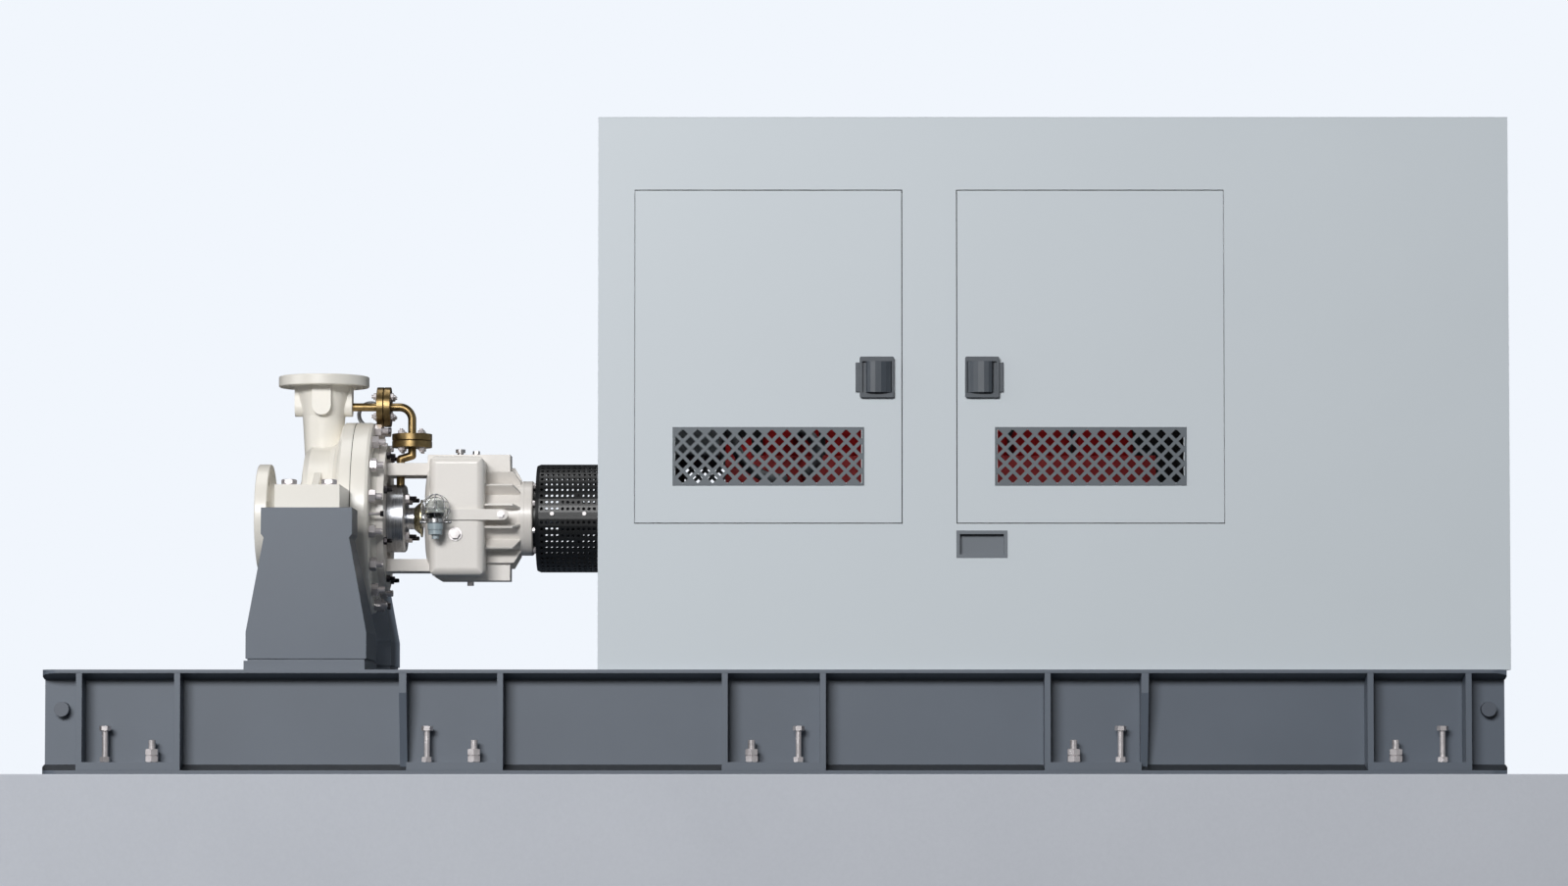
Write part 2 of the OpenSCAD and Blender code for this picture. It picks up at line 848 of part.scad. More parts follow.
module fin() {
    x0 = box_x1 - 14;
    translate([0, fin_t / 2, shaft_z]) rotate([90, 0, 0]) linear_extrude(fin_t)
        polygon([[x0, barrel_d / 2 - 12], [x0, fin_d / 2], [barrel_x1 - 25, fin_d / 2],
            [barrel_x1 - 1, barrel_d / 2 + 8], [barrel_x1 - 1, barrel_d / 2 - 12]]);
}

module pads() {
    chamfer = 22;
    translate([0, pad_w / 2, 0]) rotate([90, 0, 0]) linear_extrude(pad_w) {
        polygon([[box_x0 - 15, box_z1 - 40], [box_x0 - 15, pad_top], [pad_x1, pad_top],
            [pad_x1, shaft_z + barrel_d / 2 - 20], [box_x0 + 40, shaft_z + barrel_d / 2 - 20]]);
        polygon([[box_x0 + 10, box_z0 + 40], [box_x0 + 10, box_z0], [box_x0 + 10 + chamfer, pad_bottom],
            [pad_x1, pad_bottom], [pad_x1, shaft_z - barrel_d / 2 + 20],
            [box_x0 + 40, shaft_z - barrel_d / 2 + 20]]);
    }
}

module bearing_housing() {
    wall = 24;
    color("linen") difference() {
        union() {
            yoke();
            inboard_wall();
            translate([box_x0, -box_w / 2, box_z0]) rounded_box(box_len, box_w, box_h, box_r);
            pads();
            ring_x(box_x1 - 20, barrel_x1, barrel_d / 2);
            ring_x(barrel_x1 - 4, housing_x1, cap_r);
            for (i = [0:fins - 1]) translate([0, 0, shaft_z]) rotate([i * 360 / fins, 0, 0])
                translate([0, 0, -shaft_z]) fin();
            translate([strap_bolt_x, -barrel_d / 2 + 20, strap_z]) rotate([90, 0, 0])
                cylinder(r = 15, h = box_w / 2 - barrel_d / 2 + 20);
        }
        translate([box_x0 + wall + 2, -box_w / 2 + wall, box_z0 + wall])
            cube([box_len - 2 * wall, box_w - 2 * wall, box_h - 2 * wall]);
        ring_x(box_x0 - 24, box_x0 - 14 + 0.01, journal_d / 2 + 12);
        ring_x(box_x0 - 14, housing_x1 + over, bearing_od / 2);
        translate([entry_x, 0, shaft_z + arm_r0 - over])
            cylinder(r = pipe_r + 8, h = arm_r1 - arm_r0 + 2 * over);
        circle_x(8, yoke_pcd / 2, ring_x - over, 22.5)
            cylinder(d = yoke_bolt_d + 2 * play, h = ring_t + 2 * over);
    }
}

module bearing_end_cover() {
    spigot = 9;
    color("linen") difference() {
        along_x(housing_x1 - spigot) rotate_extrude(angle = 360) polygon([
            [journal_d / 2 + 3, 0], [bearing_od / 2 - play, 0], [bearing_od / 2 - play, spigot],
            [cap_r, spigot], [cap_r, spigot + end_cover_t - 4], [cap_r - 4, spigot + end_cover_t],
            [journal_d / 2 + 3, spigot + end_cover_t]
        ]);
        circle_x(8, cap_pcd / 2, housing_x1 - over, 22.5)
            cylinder(d = 12 + 2 * play, h = end_cover_t + 2 * over);
    }
}

module race(r0, r1) {
    rotate_extrude(angle = 360) difference() {
        translate([r0, 0]) square([r1 - r0, bearing_w]);
        translate([race_r, bearing_w / 2]) circle(ball_r + play);
    }
}

module bearing_outer_rings() {
    color("silver") for (x = bearing_x) along_x(x) race(race_r + 7, bearing_od / 2 - fit);
}

module oiler_body() {
    pipe_z = oiler_z - 25;
    color("lightslategray") {
        translate([oiler_x, oiler_y, oiler_z - 47]) {
            cylinder(r = 24, h = 47);
            translate([0, 0, 17]) cylinder(r = oiler_r, h = 30);
            translate([0, 0, 44]) difference() {
                cylinder(r = oiler_r + 3, h = 7);
                translate([0, 0, 3]) cylinder(r = oiler_r, h = 7);
            }
            translate([0, 0, -15]) hex(21, 15);
        }
        translate([oiler_x, -box_w / 2, pipe_z]) rotate([90, 0, 0])
            cylinder(r = 9, h = -oiler_y - box_w / 2 - 15);
    }
}

module oiler_glass() {
    wall = 2.5;
    base = 4;
    color([0.8, 0.9, 0.95, 0.4]) translate([oiler_x, oiler_y, 0]) difference() {
        union() {
            translate([0, 0, bulb_z]) sphere(bulb_r);
            translate([0, 0, oiler_z + base]) cylinder(r = oiler_r - play, h = 20);
        }
        translate([0, 0, bulb_z]) sphere(bulb_r - wall);
        translate([0, 0, oiler_z + base + wall]) cylinder(r = oiler_r - play - wall, h = 24);
    }
}

module oiler_cage() {
    foot_r = oiler_r + 5;
    collar_h = 14;
    dip = acos(foot_r / cage_r);
    wires = 8;
    color("silver") translate([oiler_x, oiler_y, 0]) {
        for (i = [0:wires - 1]) translate([0, 0, bulb_z]) rotate([90, 0, i * 360 / wires])
            rotate([0, 0, -dip]) rotate_extrude(angle = dip + 82)
                translate([cage_r, 0]) circle(d = wire_d);
        translate([0, 0, bulb_z + cage_r - 3]) cylinder(r = 10, h = 5);
        for (z = [0, 24]) translate([0, 0, bulb_z + z]) rotate_extrude(angle = 360)
            translate([sqrt(cage_r * cage_r - z * z) + 1.6, 0]) circle(d = wire_d - 0.4);
        translate([0, 0, oiler_z - 6]) difference() {
            cylinder(r = foot_r, h = collar_h);
            translate([0, 0, -over]) cylinder(r = oiler_r + 3, h = collar_h + 2 * over);
        }
        for (s = [-1, 1]) {
            translate([s * (foot_r - 1), 0, oiler_z - 3]) rotate([0, s * 90, 0]) cylinder(d = 6, h = 17);
            translate([s * 50, 0, oiler_z - 3]) sphere(6);
        }
    }
}

module housing_plugs() {
    sight_x = box_x0 + 92;
    sight_z = shaft_z - 65;
    color("silver") {
        translate([sight_x, -box_w / 2, sight_z]) rotate([90, 0, 0]) {
            cylinder(r = 24, h = 5);
            translate([0, 0, 5]) hex(30, 15);
        }
        translate([strap_bolt_x, -box_w / 2 - strap_t, strap_z]) rotate([90, 0, 0]) {
            cylinder(r = 14, h = 3);
            translate([0, 0, 3]) hex(19, 9);
        }
        translate([box_x0 + 96, 0, pad_top]) {
            cylinder(r = 11, h = 10);
            translate([0, 0, 10]) cylinder(r = 17, h = 12);
        }
        translate([box_x0 + 152, 0, pad_top]) {
            cylinder(r = 15, h = 5);
            translate([0, 0, 5]) hex(22, 11);
        }
        translate([box_x0 + 133, 0, pad_bottom - 16]) hex(20, 16);
    }
}

module guard_strap() {
    length = strap_x1 - strap_x0;
    color("linen") translate([strap_x0, -box_w / 2, strap_z - strap_h / 2]) rotate([90, 0, 0])
        linear_extrude(strap_t) {
            square([length - strap_h / 2, strap_h]);
            translate([length - strap_h / 2, strap_h / 2]) circle(strap_h / 2);
        }
}

// Flush piping

module elbow(r) {
    rotate_extrude(angle = 90) translate([r, 0]) circle(pipe_r);
}

module flush_pipes() {
    pair_len = 2 * pipe_flange_t + 2;
    color("darkgoldenrod") {
        translate([nozzle_x + boss_reach, 0, boss_z]) rotate([0, 90, 0])
            cylinder(r = pipe_r, h = pair_x - nozzle_x - boss_reach);
        translate([pair_x + pair_len, 0, boss_z]) rotate([0, 90, 0])
            cylinder(r = pipe_r, h = drop_x - bend_r - pair_x - pair_len);
        translate([drop_x - bend_r, 0, boss_z - bend_r]) rotate([90, 0, 0]) elbow(bend_r);
        translate([drop_x, 0, pair_z + pair_len])
            cylinder(r = pipe_r, h = boss_z - bend_r - pair_z - pair_len);
        translate([drop_x, 0, jog_z]) cylinder(r = pipe_r, h = pair_z - jog_z);
        translate([drop_x, 0, jog_z]) sphere(pipe_r);
        translate([entry_x, 0, jog_z - 12]) sphere(pipe_r);
        translate([entry_x, 0, jog_z - 12]) rotate([0, atan2(drop_x - entry_x, 12), 0])
            cylinder(r = pipe_r, h = sqrt(pow(drop_x - entry_x, 2) + 144));
        translate([entry_x, 0, shaft_z + gland_d / 2 - port_depth + play])
            cylinder(r = pipe_r, h = jog_z - 12 - shaft_z - gland_d / 2 + port_depth - play);
    }
}

module flange_pair() {
    color("darkgoldenrod") for (z = [0, pipe_flange_t + 2]) translate([0, 0, z]) difference() {
        cylinder(d = pipe_flange_d, h = pipe_flange_t);
        for (a = [45:90:315]) rotate([0, 0, a]) translate([pipe_bolt_pcd / 2, 0, -over])
            cylinder(d = 14 + 2 * play, h = pipe_flange_t + 2 * over);
    }
    color("darkgoldenrod") translate([0, 0, pipe_flange_t]) cylinder(d = 60, h = 2);
    color("silver") for (a = [45:90:315]) rotate([0, 0, a]) translate([pipe_bolt_pcd / 2, 0, 0]) {
        translate([0, 0, -18]) cylinder(d = 14, h = 2 * pipe_flange_t + 38);
        translate([0, 0, -11]) hex(22, 11);
        translate([0, 0, 2 * pipe_flange_t + 2]) hex(22, 11);
    }
}

module flush_flanges() {
    translate([pair_x, 0, boss_z]) rotate([0, 90, 0]) flange_pair();
    translate([drop_x, 0, pair_z]) flange_pair();
}

// Coupling guard

function facet_ring(r, n) = [for (i = [0:n - 1]) let (a = (i + 0.5) * 360 / n)
    [r * cos(a) / cos(180 / n), r * sin(a) / cos(180 / n)]];

module guard_shell() {
    r = guard_d / 2;
    shoulder = 12;
    along_x(guard_x0) rotate_extrude(angle = 360) polygon([
        [adapter_r + play, 0], [r - 5, 0], [r, shoulder], [r - guard_t, shoulder],
        [r - guard_t - 5, guard_t], [adapter_r + play, guard_t]
    ]);
    along_x(guard_x0 + shoulder) rotate([0, 0, 90]) linear_extrude(guard_x1 - guard_x0 - shoulder)
        difference() {
            polygon(facet_ring(r, guard_facets));
            polygon(facet_ring(r - guard_t, guard_facets));
        }
}

module screw_places() {
    pitch = 113;
    both_sides() for (i = [0:1])
        translate([guard_x0 + 59 + i * pitch, -guard_d / 2, shaft_z + lap_t + 4]) rotate([90, 0, 0])
            children();
}

module guard_half(side) {
    r = guard_d / 2;
    first = 22;
    columns = floor((guard_out - first) / perf_pitch) + 1;
    step = 180 / (perf_rows + 1);
    difference() {
        guard_shell();
        translate([guard_x0 - over, -r - over, side > 0 ? shaft_z - r - over : shaft_z])
            cube([guard_x1 - guard_x0 + 2 * over, 2 * r + 2 * over, r + over]);
        for (i = [0:columns - 1], k = [1:perf_rows])
            translate([guard_x0 + first + i * perf_pitch, 0, shaft_z])
                rotate([side * (-90 + k * step) + (side < 0 ? 180 : 0), 0, 0])
                    translate([0, 0, r - 8]) cylinder(d = perf_d, h = 12, $fn = 20);
        if (side > 0) screw_places() translate([0, 0, -20]) cylinder(d = guard_screw_d + 2 * play, h = 40);
    }
}

module guard_upper() {
    color("dimgray") guard_half(1);
}

module guard_lower() {
    r = guard_d / 2;
    lap = 22;
    color("dimgray") {
        guard_half(-1);
        ring_x(end_cover_x1, end_cover_x1 + 12, adapter_r - 8, journal_d / 2 + 14);
        ring_x(end_cover_x1 + 12, adapter_x1, adapter_r, journal_d / 2 + 14);
        difference() {
            both_sides() translate([guard_x0 + 20, -r + guard_t, shaft_z - lap / 2])
                cube([guard_x1 - guard_x0 - 30, lap_t, lap]);
            screw_places() translate([0, 0, -20]) cylinder(d = guard_screw_d + 2 * play, h = 40);
        }
    }
}

module guard_screws() {
    color("silver") screw_places() {
        cylinder(d = 14, h = 5);
        translate([0, 0, -guard_t - lap_t]) cylinder(d = guard_screw_d, h = guard_t + lap_t);
    }
}

// Canopy

module on_door(right, far) {
    mirror([0, far ? 1 : 0, 0])
        translate([right ? right_hinge_x : left_hinge_x, -wall_y, door_z])
            mirror([right ? 1 : 0, 0, 0]) rotate([90, 0, 0]) children();
}

module each_door(far) {
    for (right = [false, true]) on_door(right, far) children();
}

module doorway() {
    translate([-door_gap, -door_gap, -sheet_t - over])
        cube([door_w + 2 * door_gap, door_h + 2 * door_gap, sheet_t + 2 * over]);
}

module jamb() {
    w = door_w + 2 * door_gap;
    h = door_h + 2 * door_gap;
    translate([-door_gap, -door_gap, -jamb_depth]) difference() {
        translate([-sheet_t, -sheet_t, 0]) cube([w + 2 * sheet_t, h + 2 * sheet_t, jamb_depth - sheet_t]);
        translate([0, 0, sheet_t]) cube([w, h, jamb_depth]);
        translate([lip_w, lip_w, -over]) cube([w - 2 * lip_w, h - 2 * lip_w, jamb_depth]);
    }
}

module side_wall(pocket) {
    stiff = 40;
    length = canopy_x1 - canopy_x0;
    difference() {
        union() {
            translate([canopy_x0, -wall_y, rail_h]) cube([length, sheet_t, canopy_h - sheet_t]);
            translate([canopy_x0 + sheet_t, -wall_y, rail_h])
                cube([length - 2 * sheet_t, stiff, sheet_t]);
            translate([canopy_x0 + sheet_t, -wall_y, roof_z - 2 * sheet_t])
                cube([length - 2 * sheet_t, stiff, sheet_t]);
        }
        each_door(false) doorway();
        if (pocket) translate([pocket_x + pocket_border, -wall_y - over, pocket_z + pocket_border])
            cube([pocket_w - 2 * pocket_border, sheet_t + 2 * over, pocket_h - 2 * pocket_border]);
    }
    each_door(false) jamb();
}

module canopy_wall_near() {
    color("lightgray") side_wall(true);
}

module canopy_wall_far() {
    color("lightgray") mirror([0, 1, 0]) side_wall(false);
}

module canopy_end_walls() {
    inner = wall_y - sheet_t;
    slot_w = 420;
    slot_y = 30;
    slot_h = 34;
    slot_pitch = 82;
    slot_z = rail_h + 330;
    color("lightgray") {
        difference() {
            translate([canopy_x0, -inner, rail_h]) cube([sheet_t, 2 * inner, canopy_h - sheet_t]);
            ring_x(canopy_x0 - over, canopy_x0 + sheet_t + over,
                guard_d / 2 / cos(180 / guard_facets) + play);
        }
        difference() {
            translate([canopy_x1 - sheet_t, -inner, rail_h]) cube([sheet_t, 2 * inner, canopy_h - sheet_t]);
            both_sides() for (i = [0:end_slots - 1])
                translate([canopy_x1 - sheet_t - over, slot_y, slot_z + i * slot_pitch])
                    cube([sheet_t + 2 * over, slot_w, slot_h]);
        }
    }
}

module canopy_roof() {
    beam = 50;
    color("lightgray") {
        translate([canopy_x0, -wall_y, roof_z - sheet_t]) cube([canopy_x1 - canopy_x0, canopy_w, sheet_t]);
        for (i = [1:3]) translate([canopy_x0 + i * (canopy_x1 - canopy_x0) / 4 - beam / 2,
            -wall_y + 41, roof_z - sheet_t - beam]) cube([beam, canopy_w - 82, beam]);
    }
}

module door_seals() {
    w = door_w + 2 * door_gap;
    h = door_h + 2 * door_gap;
    top = -leaf_depth - play;
    base = -jamb_depth + sheet_t;
    color("black") for (far = [false, true]) each_door(far) difference() {
        translate([-door_gap + 4, -door_gap + 4, base]) cube([w - 8, h - 8, top - base]);
        translate([-door_gap + 4 + seal_t, -door_gap + 4 + seal_t, base - over])
            cube([w - 8 - 2 * seal_t, h - 8 - 2 * seal_t, jamb_depth]);
    }
}

module hinge_rods() {
    color("gray") for (far = [false, true]) each_door(far)
        translate([-door_gap / 2, -door_gap, 0]) rotate([-90, 0, 0])
            cylinder(r = rod_r, h = door_h + 2 * door_gap, $fn = 24);
}

module service_pocket() {
    depth = 24;
    rim = 2;
    color("gray") translate([pocket_x, -wall_y, pocket_z]) difference() {
        union() {
            translate([0, -rim, 0]) cube([pocket_w, rim, pocket_h]);
            translate([pocket_border + play, 0, pocket_border + play])
                cube([pocket_w - 2 * pocket_border - 2 * play, depth, pocket_h - 2 * pocket_border - 2 * play]);
        }
        translate([pocket_border + 3, -rim - over, pocket_border + 3])
            cube([pocket_w - 2 * pocket_border - 6, depth + rim + over - 2, pocket_h - 2 * pocket_border - 6]);
    }
}

// Doors

module leaf() {
    inner = sheet_t;
    difference() {
        translate([0, 0, -leaf_depth]) cube([door_w, door_h, leaf_depth]);
        translate([inner, inner, -leaf_depth - over])
            cube([door_w - 2 * inner, door_h - 2 * inner, leaf_depth - sheet_t + over]);
        translate([grille_u + grille_border, grille_v + grille_border, -leaf_depth])
            cube([grille_w - 2 * grille_border, grille_h - 2 * grille_border, leaf_depth + over]);
    }
}

module grille() {
    row_step = diamond_pitch / 2;
    rows = floor((grille_h - 2 * grille_border - diamond_side * sqrt(2)) / row_step) + 1;
    first_v = (grille_h - (rows - 1) * row_step) / 2;
    first_u = 35;
    columns = floor((grille_w - first_u) / diamond_pitch);
    linear_extrude(grille_t) difference() {
        square([grille_w, grille_h]);
        intersection() {
            translate([grille_border, grille_border])
                square([grille_w - 2 * grille_border, grille_h - 2 * grille_border]);
            for (r = [0:rows - 1], c = [0:columns])
                translate([first_u + c * diamond_pitch - (r % 2) * row_step, first_v + r * row_step])
                    rotate(45) square(diamond_side, center = true);
        }
    }
}

module latch_body() {
    pocket_v = (latch_h - paddle_h) / 2 - play;
    difference() {
        union() {
            linear_extrude(latch_t) rounded(latch_w, latch_h, 6);
            translate([-tab_w, (latch_h - tab_h) / 2, 0]) cube([tab_w + over, tab_h, 9]);
        }
        translate([paddle_u - finger_gap, pocket_v, latch_floor])
            cube([paddle_w + finger_gap + play, paddle_h + 2 * play, latch_t]);
    }
    translate([paddle_u + pivot_u, pocket_v - over, latch_floor + pivot_w]) rotate([-90, 0, 0])
        cylinder(r = pivot_r - 2 * fit, h = paddle_h + 2 * play + 2 * over);
}

module paddle() {
    w = paddle_w;
    top = paddle_rise + 4;
    rotate([90, 0, 0]) translate([0, 0, -paddle_h]) linear_extrude(paddle_h) difference() {
        union() {
            polygon([[0, 8], [0, 13], [4, top - 8], [14, top - 2], [30, top], [50, top - 2],
                [66, top - 8], [pivot_u, pivot_w + 6.6], [pivot_u, pivot_w - 6.4], [w - 14, 2], [16, 6]]);
            translate([pivot_u, pivot_w]) circle(6.6);
        }
        translate([pivot_u, pivot_w]) circle(pivot_r);
    }
}

module door_latch() {
    translate([latch_u, latch_v, 0]) latch_body();
}

module door_paddle() {
    translate([latch_u + paddle_u, latch_v + (latch_h - paddle_h) / 2, latch_floor]) paddle();
}

module near_left_leaf() { color("lightgray") on_door(false, false) leaf(); }
module near_left_grille() { color("gray") on_door(false, false) translate([grille_u, grille_v, 0]) grille(); }
module near_left_latch() { color("dimgray") on_door(false, false) door_latch(); }
module near_left_paddle() { color("dimgray") on_door(false, false) door_paddle(); }
module near_right_leaf() { color("lightgray") on_door(true, false) leaf(); }
module near_right_grille() { color("gray") on_door(true, false) translate([grille_u, grille_v, 0]) grille(); }
module near_right_latch() { color("dimgray") on_door(true, false) door_latch(); }
module near_right_paddle() { color("dimgray") on_door(true, false) door_paddle(); }
module far_left_leaf() { color("lightgray") on_door(false, true) leaf(); }
module far_left_grille() { color("gray") on_door(false, true) translate([grille_u, grille_v, 0]) grille(); }
module far_left_latch() { color("dimgray") on_door(false, true) door_latch(); }
module far_left_paddle() { color("dimgray") on_door(false, true) door_paddle(); }
module far_right_leaf() { color("lightgray") on_door(true, true) leaf(); }
module far_right_grille() { color("gray") on_door(true, true) translate([grille_u, grille_v, 0]) grille(); }
module far_right_latch() { color("dimgray") on_door(true, true) door_latch(); }
module far_right_paddle() { color("dimgray") on_door(true, true) door_paddle(); }

// Driver

module engine_block() {
    half = engine_w / 2;
    block_x = engine_x0 + 80;
    block_len = engine_len - 80;
    foot_l = 140;
    heads = 6;
    head_pitch = (block_len - 100) / heads;
    color("darkred") difference() {
        union() {
            translate([block_x, 0, 0]) rotate([90, 0, 90]) linear_extrude(block_len)
                polygon([[-half, shaft_z - 120], [-half, shaft_z + 60], [-half + 50, shaft_z + engine_top],
                    [half - 50, shaft_z + engine_top], [half, shaft_z + 60], [half, shaft_z - 120],
                    [half - 70, sump_z + 40], [half - 110, sump_z], [-half + 110, sump_z],
                    [-half + 70, sump_z + 40]]);
            for (i = [0:heads - 1]) translate([block_x + 50 + i * head_pitch, -half + 80, head_z])
                rounded_box(head_pitch - 24, engine_w - 160, 105, 14);
            ring_x(engine_x0, block_x + 10, 285);
            both_sides() for (x = [block_x + 60, engine_x1 - 60 - foot_l])
                translate([x, half - 40, rail_h]) cube([foot_l, 90, shaft_z - 100 - rail_h]);
            translate([block_x + 40, half + 55, shaft_z + 105]) rotate([0, 90, 0])
                cylinder(r = 42, h = block_len - 160);
            translate([block_x + 40, -half - 45, shaft_z - 30]) rotate([0, 90, 0])
                cylinder(r = 36, h = block_len - 160);
            for (i = [0:heads - 1]) translate([block_x + 60 + (i + 0.5) * head_pitch, 0, 0]) {
                translate([0, half + 55, shaft_z + 105]) rotate([90, 0, 0]) cylinder(r = 30, h = 100);
                translate([0, -half - 45, shaft_z - 30]) rotate([-90, 0, 0]) cylinder(r = 26, h = 60);
            }
            for (p = hose_ports) translate([p[0], port_y, p[1]]) rotate([-90, 0, 0])
                cylinder(r = 24, h = -port_y - half + 100);
        }
        ring_x(engine_x0 - over, engine_x1 + over, drive_d / 2 + play);
    }
}

module radiator() {
    w = 1100;
    h = 1250;
    z0 = rail_h;
    core_t = 90;
    frame = 50;
    color("dimgray") difference() {
        translate([radiator_x, -w / 2, z0]) cube([core_t + 60, w, h]);
        translate([radiator_x - over, -w / 2 + frame, z0 + frame])
            cube([30 + over, w - 2 * frame, h - 2 * frame]);
        translate([radiator_x + core_t + 30, -w / 2 + frame, z0 + frame])
            cube([30 + over, w - 2 * frame, h - 2 * frame]);
    }
}

module hose_arc(centre, radius, start, sweep) {
    translate([centre[0], hose_y, centre[1]]) rotate([90, 0, 0]) rotate([0, 0, start])
        rotate_extrude(angle = sweep) translate([radius, 0]) circle(hose_r);
}

module hose_end(p) {
    translate([p[0], hose_y, p[1]]) sphere(hose_r + 1.5);
    translate([p[0], hose_y, p[1]]) rotate([-90, 0, 0]) cylinder(r = hose_r - 1, h = port_y - hose_y);
}

module engine_hoses() {
    color("slategray") {
        hose_arc(long_centre, long_r, 180, 90);
        hose_arc([long_centre[0] - long_r - small_r, long_centre[1]], small_r, 0, 90);
        hose_end(hose_ports[0]);
        hose_arc(short_centre, short_r, short_a0, short_a1 - short_a0);
        hose_end(hose_ports[1]);
        hose_end(hose_ports[2]);
    }
}

module control_box() {
    x0 = canopy_x0 + 69;
    w = engine_w + 190;
    h = 430;
    z0 = shaft_z + guard_d / 2 + 6;
    color("gray") {
        translate([x0, -w / 2, z0]) rounded_box(box_end - x0, w, h, 10);
        for (y = [-w / 2 + 60, w / 2 - 100]) translate([canopy_x0 + sheet_t, y, z0 + 60])
            cube([x0 - canopy_x0 - sheet_t + over, 40, 300]);
    }
}

// Rotating pieces

module pump_shaft() {
    journal = journal_d / 2;
    x0 = shaft_x0;
    sleeve_x0 = split_x + 8;
    sleeve_x1 = ring_x + gland_len + 23;
    color("silver") {
        along_x(x0) rotate_extrude(angle = 360) polygon([
            [0, 0], [18, 0], [22, 12], [22, impeller_end + fit - x0], [28, impeller_end + fit - x0],
            [28, sleeve_x0 - x0], [sleeve_d / 2, sleeve_x0 - x0], [sleeve_d / 2, sleeve_x1 - x0],
            [journal, sleeve_x1 - x0], [journal, housing_x1 + 6 - x0], [30, housing_x1 + 6 - x0],
            [30, hub_x + hub_len + coupling_t - x0 - 2], [0, hub_x + hub_len + coupling_t - x0 - 2]
        ]);
        for (x = bearing_x) {
            along_x(x) race(journal + fit, race_r - 7);
            circle_x(balls, race_r, x + bearing_w / 2) sphere(ball_r, $fn = 32);
        }
    }
}

module impeller() {
    r = impeller_d / 2;
    hub = 40;
    x0 = impeller_x;
    back = impeller_back;
    vanes = 6;
    color("darkgray") difference() {
        union() {
            along_x(x0) rotate_extrude(angle = 360) polygon([
                [22, 30], [hub, 34], [hub + 16, 78], [r, back - 12], [r, back], [hub, back],
                [hub, back + 14], [22, back + 14]
            ]);
            along_x(x0) rotate_extrude(angle = 360) polygon([
                [eye_r - 6, 0], [eye_r, 0], [eye_r, 24], [118, 38], [r, 48], [r, 54], [112, 46], [92, 30]
            ]);
            along_x(x0 + 42) for (i = [0:vanes - 1]) rotate([0, 0, i * 360 / vanes]) intersection() {
                translate([0, r * 0.62, 0]) difference() {
                    cylinder(r = r * 0.66, h = 42);
                    translate([0, 0, -over]) cylinder(r = r * 0.66 - 7, h = 42 + 2 * over);
                }
                difference() {
                    cylinder(r = r - 1, h = 42);
                    translate([0, 0, -over]) cylinder(r = hub + 8, h = 42 + 2 * over);
                }
                translate([0, -r, -over]) cube([r, 2 * r, 50]);
            }
        }
        ring_x(x0 - over, x0 + back + 20, 22 + fit);
    }
}

module coupling_pump_half() {
    r = coupling_r;
    gap = 4;
    bolts = 8;
    x1 = hub_x + hub_len;
    spacer_x1 = drive_x0 - gap;
    color("dimgray") difference() {
        union() {
            ring_x(hub_x, x1, hub_r);
            ring_x(x1, x1 + coupling_t, r);
            ring_x(x1 + coupling_t, spacer_x1 - coupling_t, hub_r - 8);
            ring_x(spacer_x1 - coupling_t, spacer_x1, r);
            circle_x(bolts, r - 15, x1 - 9) hex(14, coupling_t + 14);
        }
        ring_x(hub_x - over, x1 + coupling_t - 1, 30 + fit);
    }
}

module slinger_ring() {
    x0 = ring_x + gland_len + 25;
    color("goldenrod") difference() {
        union() {
            along_x(x0) rotate_extrude(angle = 360) polygon([
                [0, 0], [40, 0], [52, 14], [56, 22], [0, 22]
            ]);
            ring_x(x0 + 22, x0 + 27, 66);
        }
        ring_x(x0 - over, x0 + 30, journal_d / 2 + fit);
    }
}

module output_shaft() {
    r = drive_d / 2;
    color("silver") along_x(drive_x0 + 2) rotate_extrude(angle = 360) polygon([
        [0, 0], [r, 0], [r, fan_x + 60 - drive_x0], [0, fan_x + 60 - drive_x0]
    ]);
}

module coupling_driver_half() {
    bolts = 8;
    color("dimgray") difference() {
        union() {
            ring_x(drive_x0, drive_x0 + coupling_t, coupling_r);
            ring_x(drive_x0 + coupling_t, drive_x0 + coupling_t + hub_len, hub_r + 4);
            circle_x(bolts, coupling_r - 15, drive_x0 + coupling_t - 1) hex(14, 9);
        }
        ring_x(drive_x0 + 1, drive_x0 + coupling_t + hub_len + over, drive_d / 2 + fit);
    }
}

module cooling_fan() {
    blades = 8;
    hub = 90;
    color("dimgray") difference() {
        union() {
            ring_x(fan_x, fan_x + 50, hub);
            for (i = [0:blades - 1]) translate([fan_x + 25, 0, shaft_z]) rotate([i * 360 / blades, 0, 0])
                translate([0, 0, hub - 12]) rotate([0, 0, 32])
                    linear_extrude(fan_d / 2 - hub + 12) square([6, 110], center = true);
        }
        ring_x(fan_x - over, fan_x + 60, drive_d / 2 + fit);
    }
}

skid_rails();
skid_cross_members();
bolt_chairs();
skid_deck();
lifting_bars();
foundation_bolts();
pump_pedestals();
pump_casing();
casing_cover();
cover_studs();
lifting_eye();
hex_bolts();
seal_gland();
bearing_housing();
bearing_end_cover();
bearing_outer_rings();
oiler_body();
oiler_glass();
oiler_cage();
housing_plugs();
guard_strap();
flush_pipes();
flush_flanges();
guard_upper();
guard_lower();
guard_screws();
canopy_wall_near();
canopy_wall_far();
canopy_end_walls();
canopy_roof();
door_seals();
hinge_rods();
service_pocket();
engine_block();
radiator();
engine_hoses();
control_box();
pump_shaft();
impeller();
coupling_pump_half();
slinger_ring();
output_shaft();
coupling_driver_half();
cooling_fan();
near_left_leaf();
near_left_grille();
near_left_latch();
near_left_paddle();
near_right_leaf();
near_right_grille();
near_right_latch();
near_right_paddle();
far_left_leaf();
far_left_grille();
far_left_latch();
far_left_paddle();
far_right_leaf();
far_right_grille();
far_right_latch();
far_right_paddle();
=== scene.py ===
import math
import bpy
import bmesh
from mathutils import Matrix, Vector


